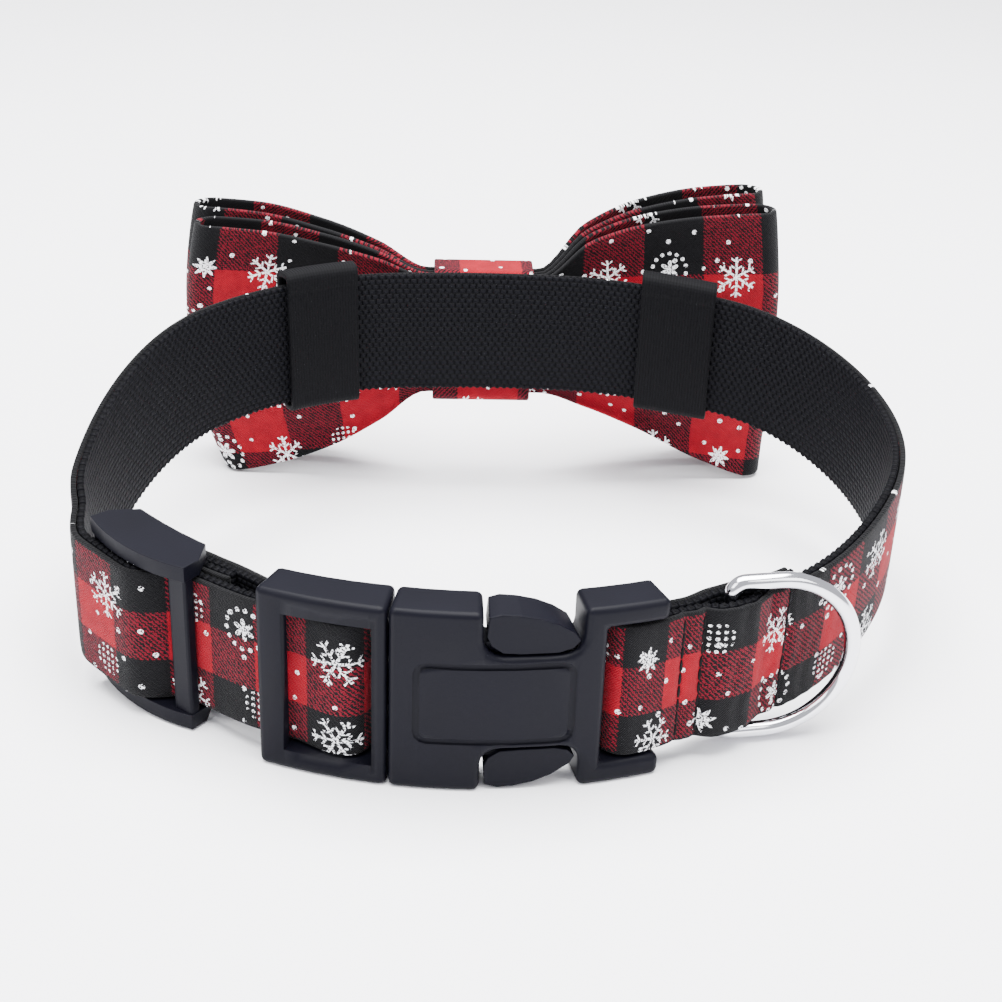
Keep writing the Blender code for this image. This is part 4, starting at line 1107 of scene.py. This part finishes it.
    def build_knot(self) -> bpy.types.Object:
        """The band round both bows' waists, with soft pleats along it."""
        depth = 4 * (self.waist + self.wall / 2) + 3 * GAP + self.knot_wall
        height = self.waist_up + self.waist_down + 2 * self.knot_slack + self.knot_wall
        loop = self.outline(depth, height)
        centre = ((depth + self.knot_wall) / 2, self.waist_height + (self.waist_up - self.waist_down) / 2)

        def place(u: np.ndarray, v: np.ndarray) -> tuple[np.ndarray, np.ndarray]:
            index = np.rint(u * (len(loop) - 1)).astype(int)
            x = (v - 0.5) * self.knot_width
            away = loop[index, 0] > 0.4 * depth
            level = 1 - np.abs(loop[index, 1]) / (height / 2)
            waves = np.cos(3 * math.pi * (v - 0.46) + 0.8 * level)
            bulge = np.where(away, self.knot_bulge * waves * level, 0.0)
            y = loop[index, 0] + centre[0] + bulge
            points = self.placed(x, y, loop[index, 1] + centre[1])
            return points, np.column_stack([x, loop[index, 2] + self.knot_start])

        cut = Cut(self.knot_width, float(loop[-1, 2]), self.knot_wall, "folded", ("bow_near_cloth",))
        return cut.lay("knot_band", len(loop) - 1, 24, place)

    def build_elastic(self, name: str, at: float) -> bpy.types.Object:
        """An elastic band round the strap, behind a wing, with its end sewn over itself."""
        inner = -(WEBBING_THICKNESS / 2 + GAP + self.elastic_wall / 2)
        outer = COVER_FACE + GAP + self.elastic_wall / 2
        low = -(STRAP_WIDTH / 2 + self.elastic_low + self.elastic_wall / 2)
        high = STRAP_WIDTH / 2 + self.elastic_top + self.elastic_wall / 2
        loop = self.outline(outer - inner, high - low)

        def place(u: np.ndarray, v: np.ndarray) -> tuple[np.ndarray, np.ndarray]:
            index = np.rint(u * (len(loop) - 1)).astype(int)
            out = loop[index, 0] + (outer + inner) / 2
            up = loop[index, 1] + (high + low) / 2
            # The band's end is sewn over itself, which leaves a small step near the top
            step = self.fold_step / (1 + np.exp((high - self.fold_length - up) / self.fold_slope))
            out = out - np.where(loop[index, 0] < 0, step, 0.0)
            span = (v - 0.5) * self.elastic_width
            flat = np.column_stack([at + span, -out, up])
            return self.run.bent(flat), np.column_stack([loop[index, 2], span])

        length = float(loop[-1, 2])
        cut = Cut(self.elastic_width, length, self.elastic_wall, "stretched", ("webbing_strap",))
        return cut.lay(name, len(loop) - 1, 16, place)

    def make(self, cotton: bpy.types.Material, elastic: bpy.types.Material) -> None:
        """Builds and dresses the bow tie's pieces."""
        left, right = self.at + self.elastic_left, self.at - self.elastic_right
        for obj, finish, node in (
            (self.build_bow(Layer.NEAR), cotton, "bow_near"),
            (self.build_bow(Layer.FAR), cotton, "bow_far"),
            (self.build_knot(), cotton, "bow_knot"),
            (self.build_elastic("elastic_band_left", left), elastic, "elastic_loop_left"),
            (self.build_elastic("elastic_band_right", right), elastic, "elastic_loop_right"),
        ):
            hand_over(obj, finish, node)


# Hardware


@dataclass
class Ring:
    """The ring of round wire that hangs from the strap's tunnel."""

    run: NeckRun

    def make(self, nickel: bpy.types.Material) -> None:
        """Bends the wire along its outline and puts it in its tunnel."""
        half = (STRAP_WIDTH + RING_PLAY + RING_WIRE) / 2
        points = []
        for centre, radius, start, end, steps in (
            ((RING_CORNER, -half + RING_CORNER), RING_CORNER, 180, 270, 9),
            ((RING_DEPTH - half, 0.0), half, -90, 90, 57),
            ((RING_CORNER, half - RING_CORNER), RING_CORNER, 90, 180, 9),
        ):
            for angle in np.radians(np.linspace(start, end, steps)):
                points.append((centre[0] + radius * math.cos(angle), centre[1] + radius * math.sin(angle)))
        curve = bpy.data.curves.new("ring_wire", "CURVE")
        curve.dimensions = "3D"
        curve.bevel_depth = RING_WIRE / 2
        curve.bevel_resolution = 7
        spline = curve.splines.new("POLY")
        spline.points.add(len(points) - 1)
        for point, (along, across) in zip(spline.points, points):
            point.co = (along, 0.0, across, 1.0)
        spline.use_cyclic_u = True
        obj = bpy.data.objects.new("ring_wire", curve)
        bpy.context.scene.collection.objects.link(obj)
        only(obj)
        bpy.ops.object.convert(target="MESH")
        obj = bpy.context.object
        swing = Matrix.Rotation(-RING_SWING, 4, "Z")
        seat = Matrix.Translation((0.0, RING_BAR_DEPTH, 0.0))
        obj.data.transform(self.run.placement(RING_AT) @ seat @ swing)
        merge_points(obj)
        bpy.ops.object.shade_smooth()
        hand_over(obj, nickel, "d_ring", body="ring")


@dataclass
class Mouldings:
    """The buckle's two halves and the slide, from merged copies of the frame's own solids."""

    nodes: tuple[str, ...] = ("buckle_plug", "buckle_socket", "slider")
    smooth: float = math.radians(38)

    def make(self, plastic: bpy.types.Material) -> None:
        """Copies, merges, smooths and dresses each moulding."""
        for node in self.nodes:
            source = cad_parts[node]
            obj = bpy.data.objects.new(node + "_body", source.data.copy())
            bpy.context.scene.collection.objects.link(obj)
            obj.data.name = obj.name
            merge_points(obj)
            bpy.ops.object.shade_smooth_by_angle(angle=self.smooth)
            even = obj.modifiers.new("even_shading", "WEIGHTED_NORMAL")
            even.keep_sharp = True
            even.mode = "FACE_AREA"
            even.weight = 100
            apply_modifiers(obj)
            hand_over(obj, plastic, node)


# Studio


@dataclass
class Studio:
    """A pale sweep of floor, soft light from above and the photograph's viewpoint."""

    eye: tuple[float, float, float] = (0.00044, -0.29556, 0.1666)
    elevation: float = math.radians(26.66)
    roll: float = math.radians(2.13)
    lens: float = 61.08
    floor_colour: str = "#FCFCFF"
    room_colour: str = "#F3F3FA"

    def make(self) -> None:
        """Lays the floor and sets the lights and the camera."""
        self.lay_floor()
        self.hang_lights()
        self.place_camera()

    def lay_floor(self) -> None:
        """A plain pale floor under the collar."""
        bpy.ops.mesh.primitive_plane_add(size=8.0)
        floor = bpy.context.object
        floor.name = "floor"
        material, shader = start_material("paper_matt")
        paper = {"Base Color": linear(self.floor_colour), "Roughness": 0.9, "Specular IOR Level": 0.1}
        connect(shader, paper)
        dress(floor, material)

    def hang_lights(self) -> None:
        """Large soft lights above and to both sides, in a bright room."""
        world = bpy.data.worlds.new("room")
        world.use_nodes = True
        sky = {"Color": linear(self.room_colour), "Strength": 1.0}
        connect(world.node_tree.nodes["Background"], sky)
        bpy.context.scene.world = world
        for name, place, size, power in (
            ("overhead", (0.0, 0.05, 0.9), 0.9, 54.0),
            ("left_front", (-0.6, -0.55, 0.6), 0.5, 5.0),
            ("right_front", (0.6, -0.5, 0.5), 0.4, 3.0),
        ):
            light = bpy.data.lights.new(name, "AREA")
            light.size = size
            light.energy = power
            lamp = bpy.data.objects.new(name, light)
            bpy.context.scene.collection.objects.link(lamp)
            lamp.location = place
            aim = Vector((0.0, 0.0, 0.02)) - Vector(place)
            lamp.rotation_euler = aim.to_track_quat("-Z", "Y").to_euler()

    def place_camera(self) -> None:
        """The camera at the photograph's viewing angle."""
        camera = bpy.data.cameras.new("viewpoint")
        camera.lens = self.lens
        camera.sensor_width = 36.0
        camera.sensor_fit = "HORIZONTAL"
        camera.clip_start = 0.01
        obj = bpy.data.objects.new("viewpoint", camera)
        bpy.context.scene.collection.objects.link(obj)
        forward = Vector((0.0, math.cos(self.elevation), -math.sin(self.elevation)))
        up = Vector((0.0, math.sin(self.elevation), math.cos(self.elevation)))
        across = Vector((1.0, 0.0, 0.0))
        right = math.cos(self.roll) * across + math.sin(self.roll) * up
        top = math.cos(self.roll) * up - math.sin(self.roll) * across
        obj.matrix_world = matrix_of(right, top, -forward, self.eye)
        bpy.context.scene.camera = obj


def main() -> None:
    """Builds the collar's pieces in order."""
    logging.basicConfig(level=logging.INFO, format="%(message)s")
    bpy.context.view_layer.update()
    run = NeckRun()
    strap_cotton = CheckCotton(
        name="cotton_check_strap", band_along=9.604, band_across=9.3, repeat_across=16.9,
        start_along=0.1776, start_across=0.275, print_seed=0.3, wear=0.47, selvedge=11.75,
    ).material()
    bow_cotton = CheckCotton(
        name="cotton_check_bow", band_along=13.1, band_across=14.3, repeat_across=28.6,
        start_along=0.1947, start_across=0.948, print_seed=3.7,
    ).material()
    plastic = MouldedAcetal().material()
    Strap(run).make(strap_cotton, WovenWebbing().material(), SpunThread().material())
    BowTie(run).make(bow_cotton, RibbedElastic().material())
    Mouldings().make(plastic)
    Ring(run).make(PolishedNickel().material())
    Studio().make()


if __name__ == "__main__":
    main()
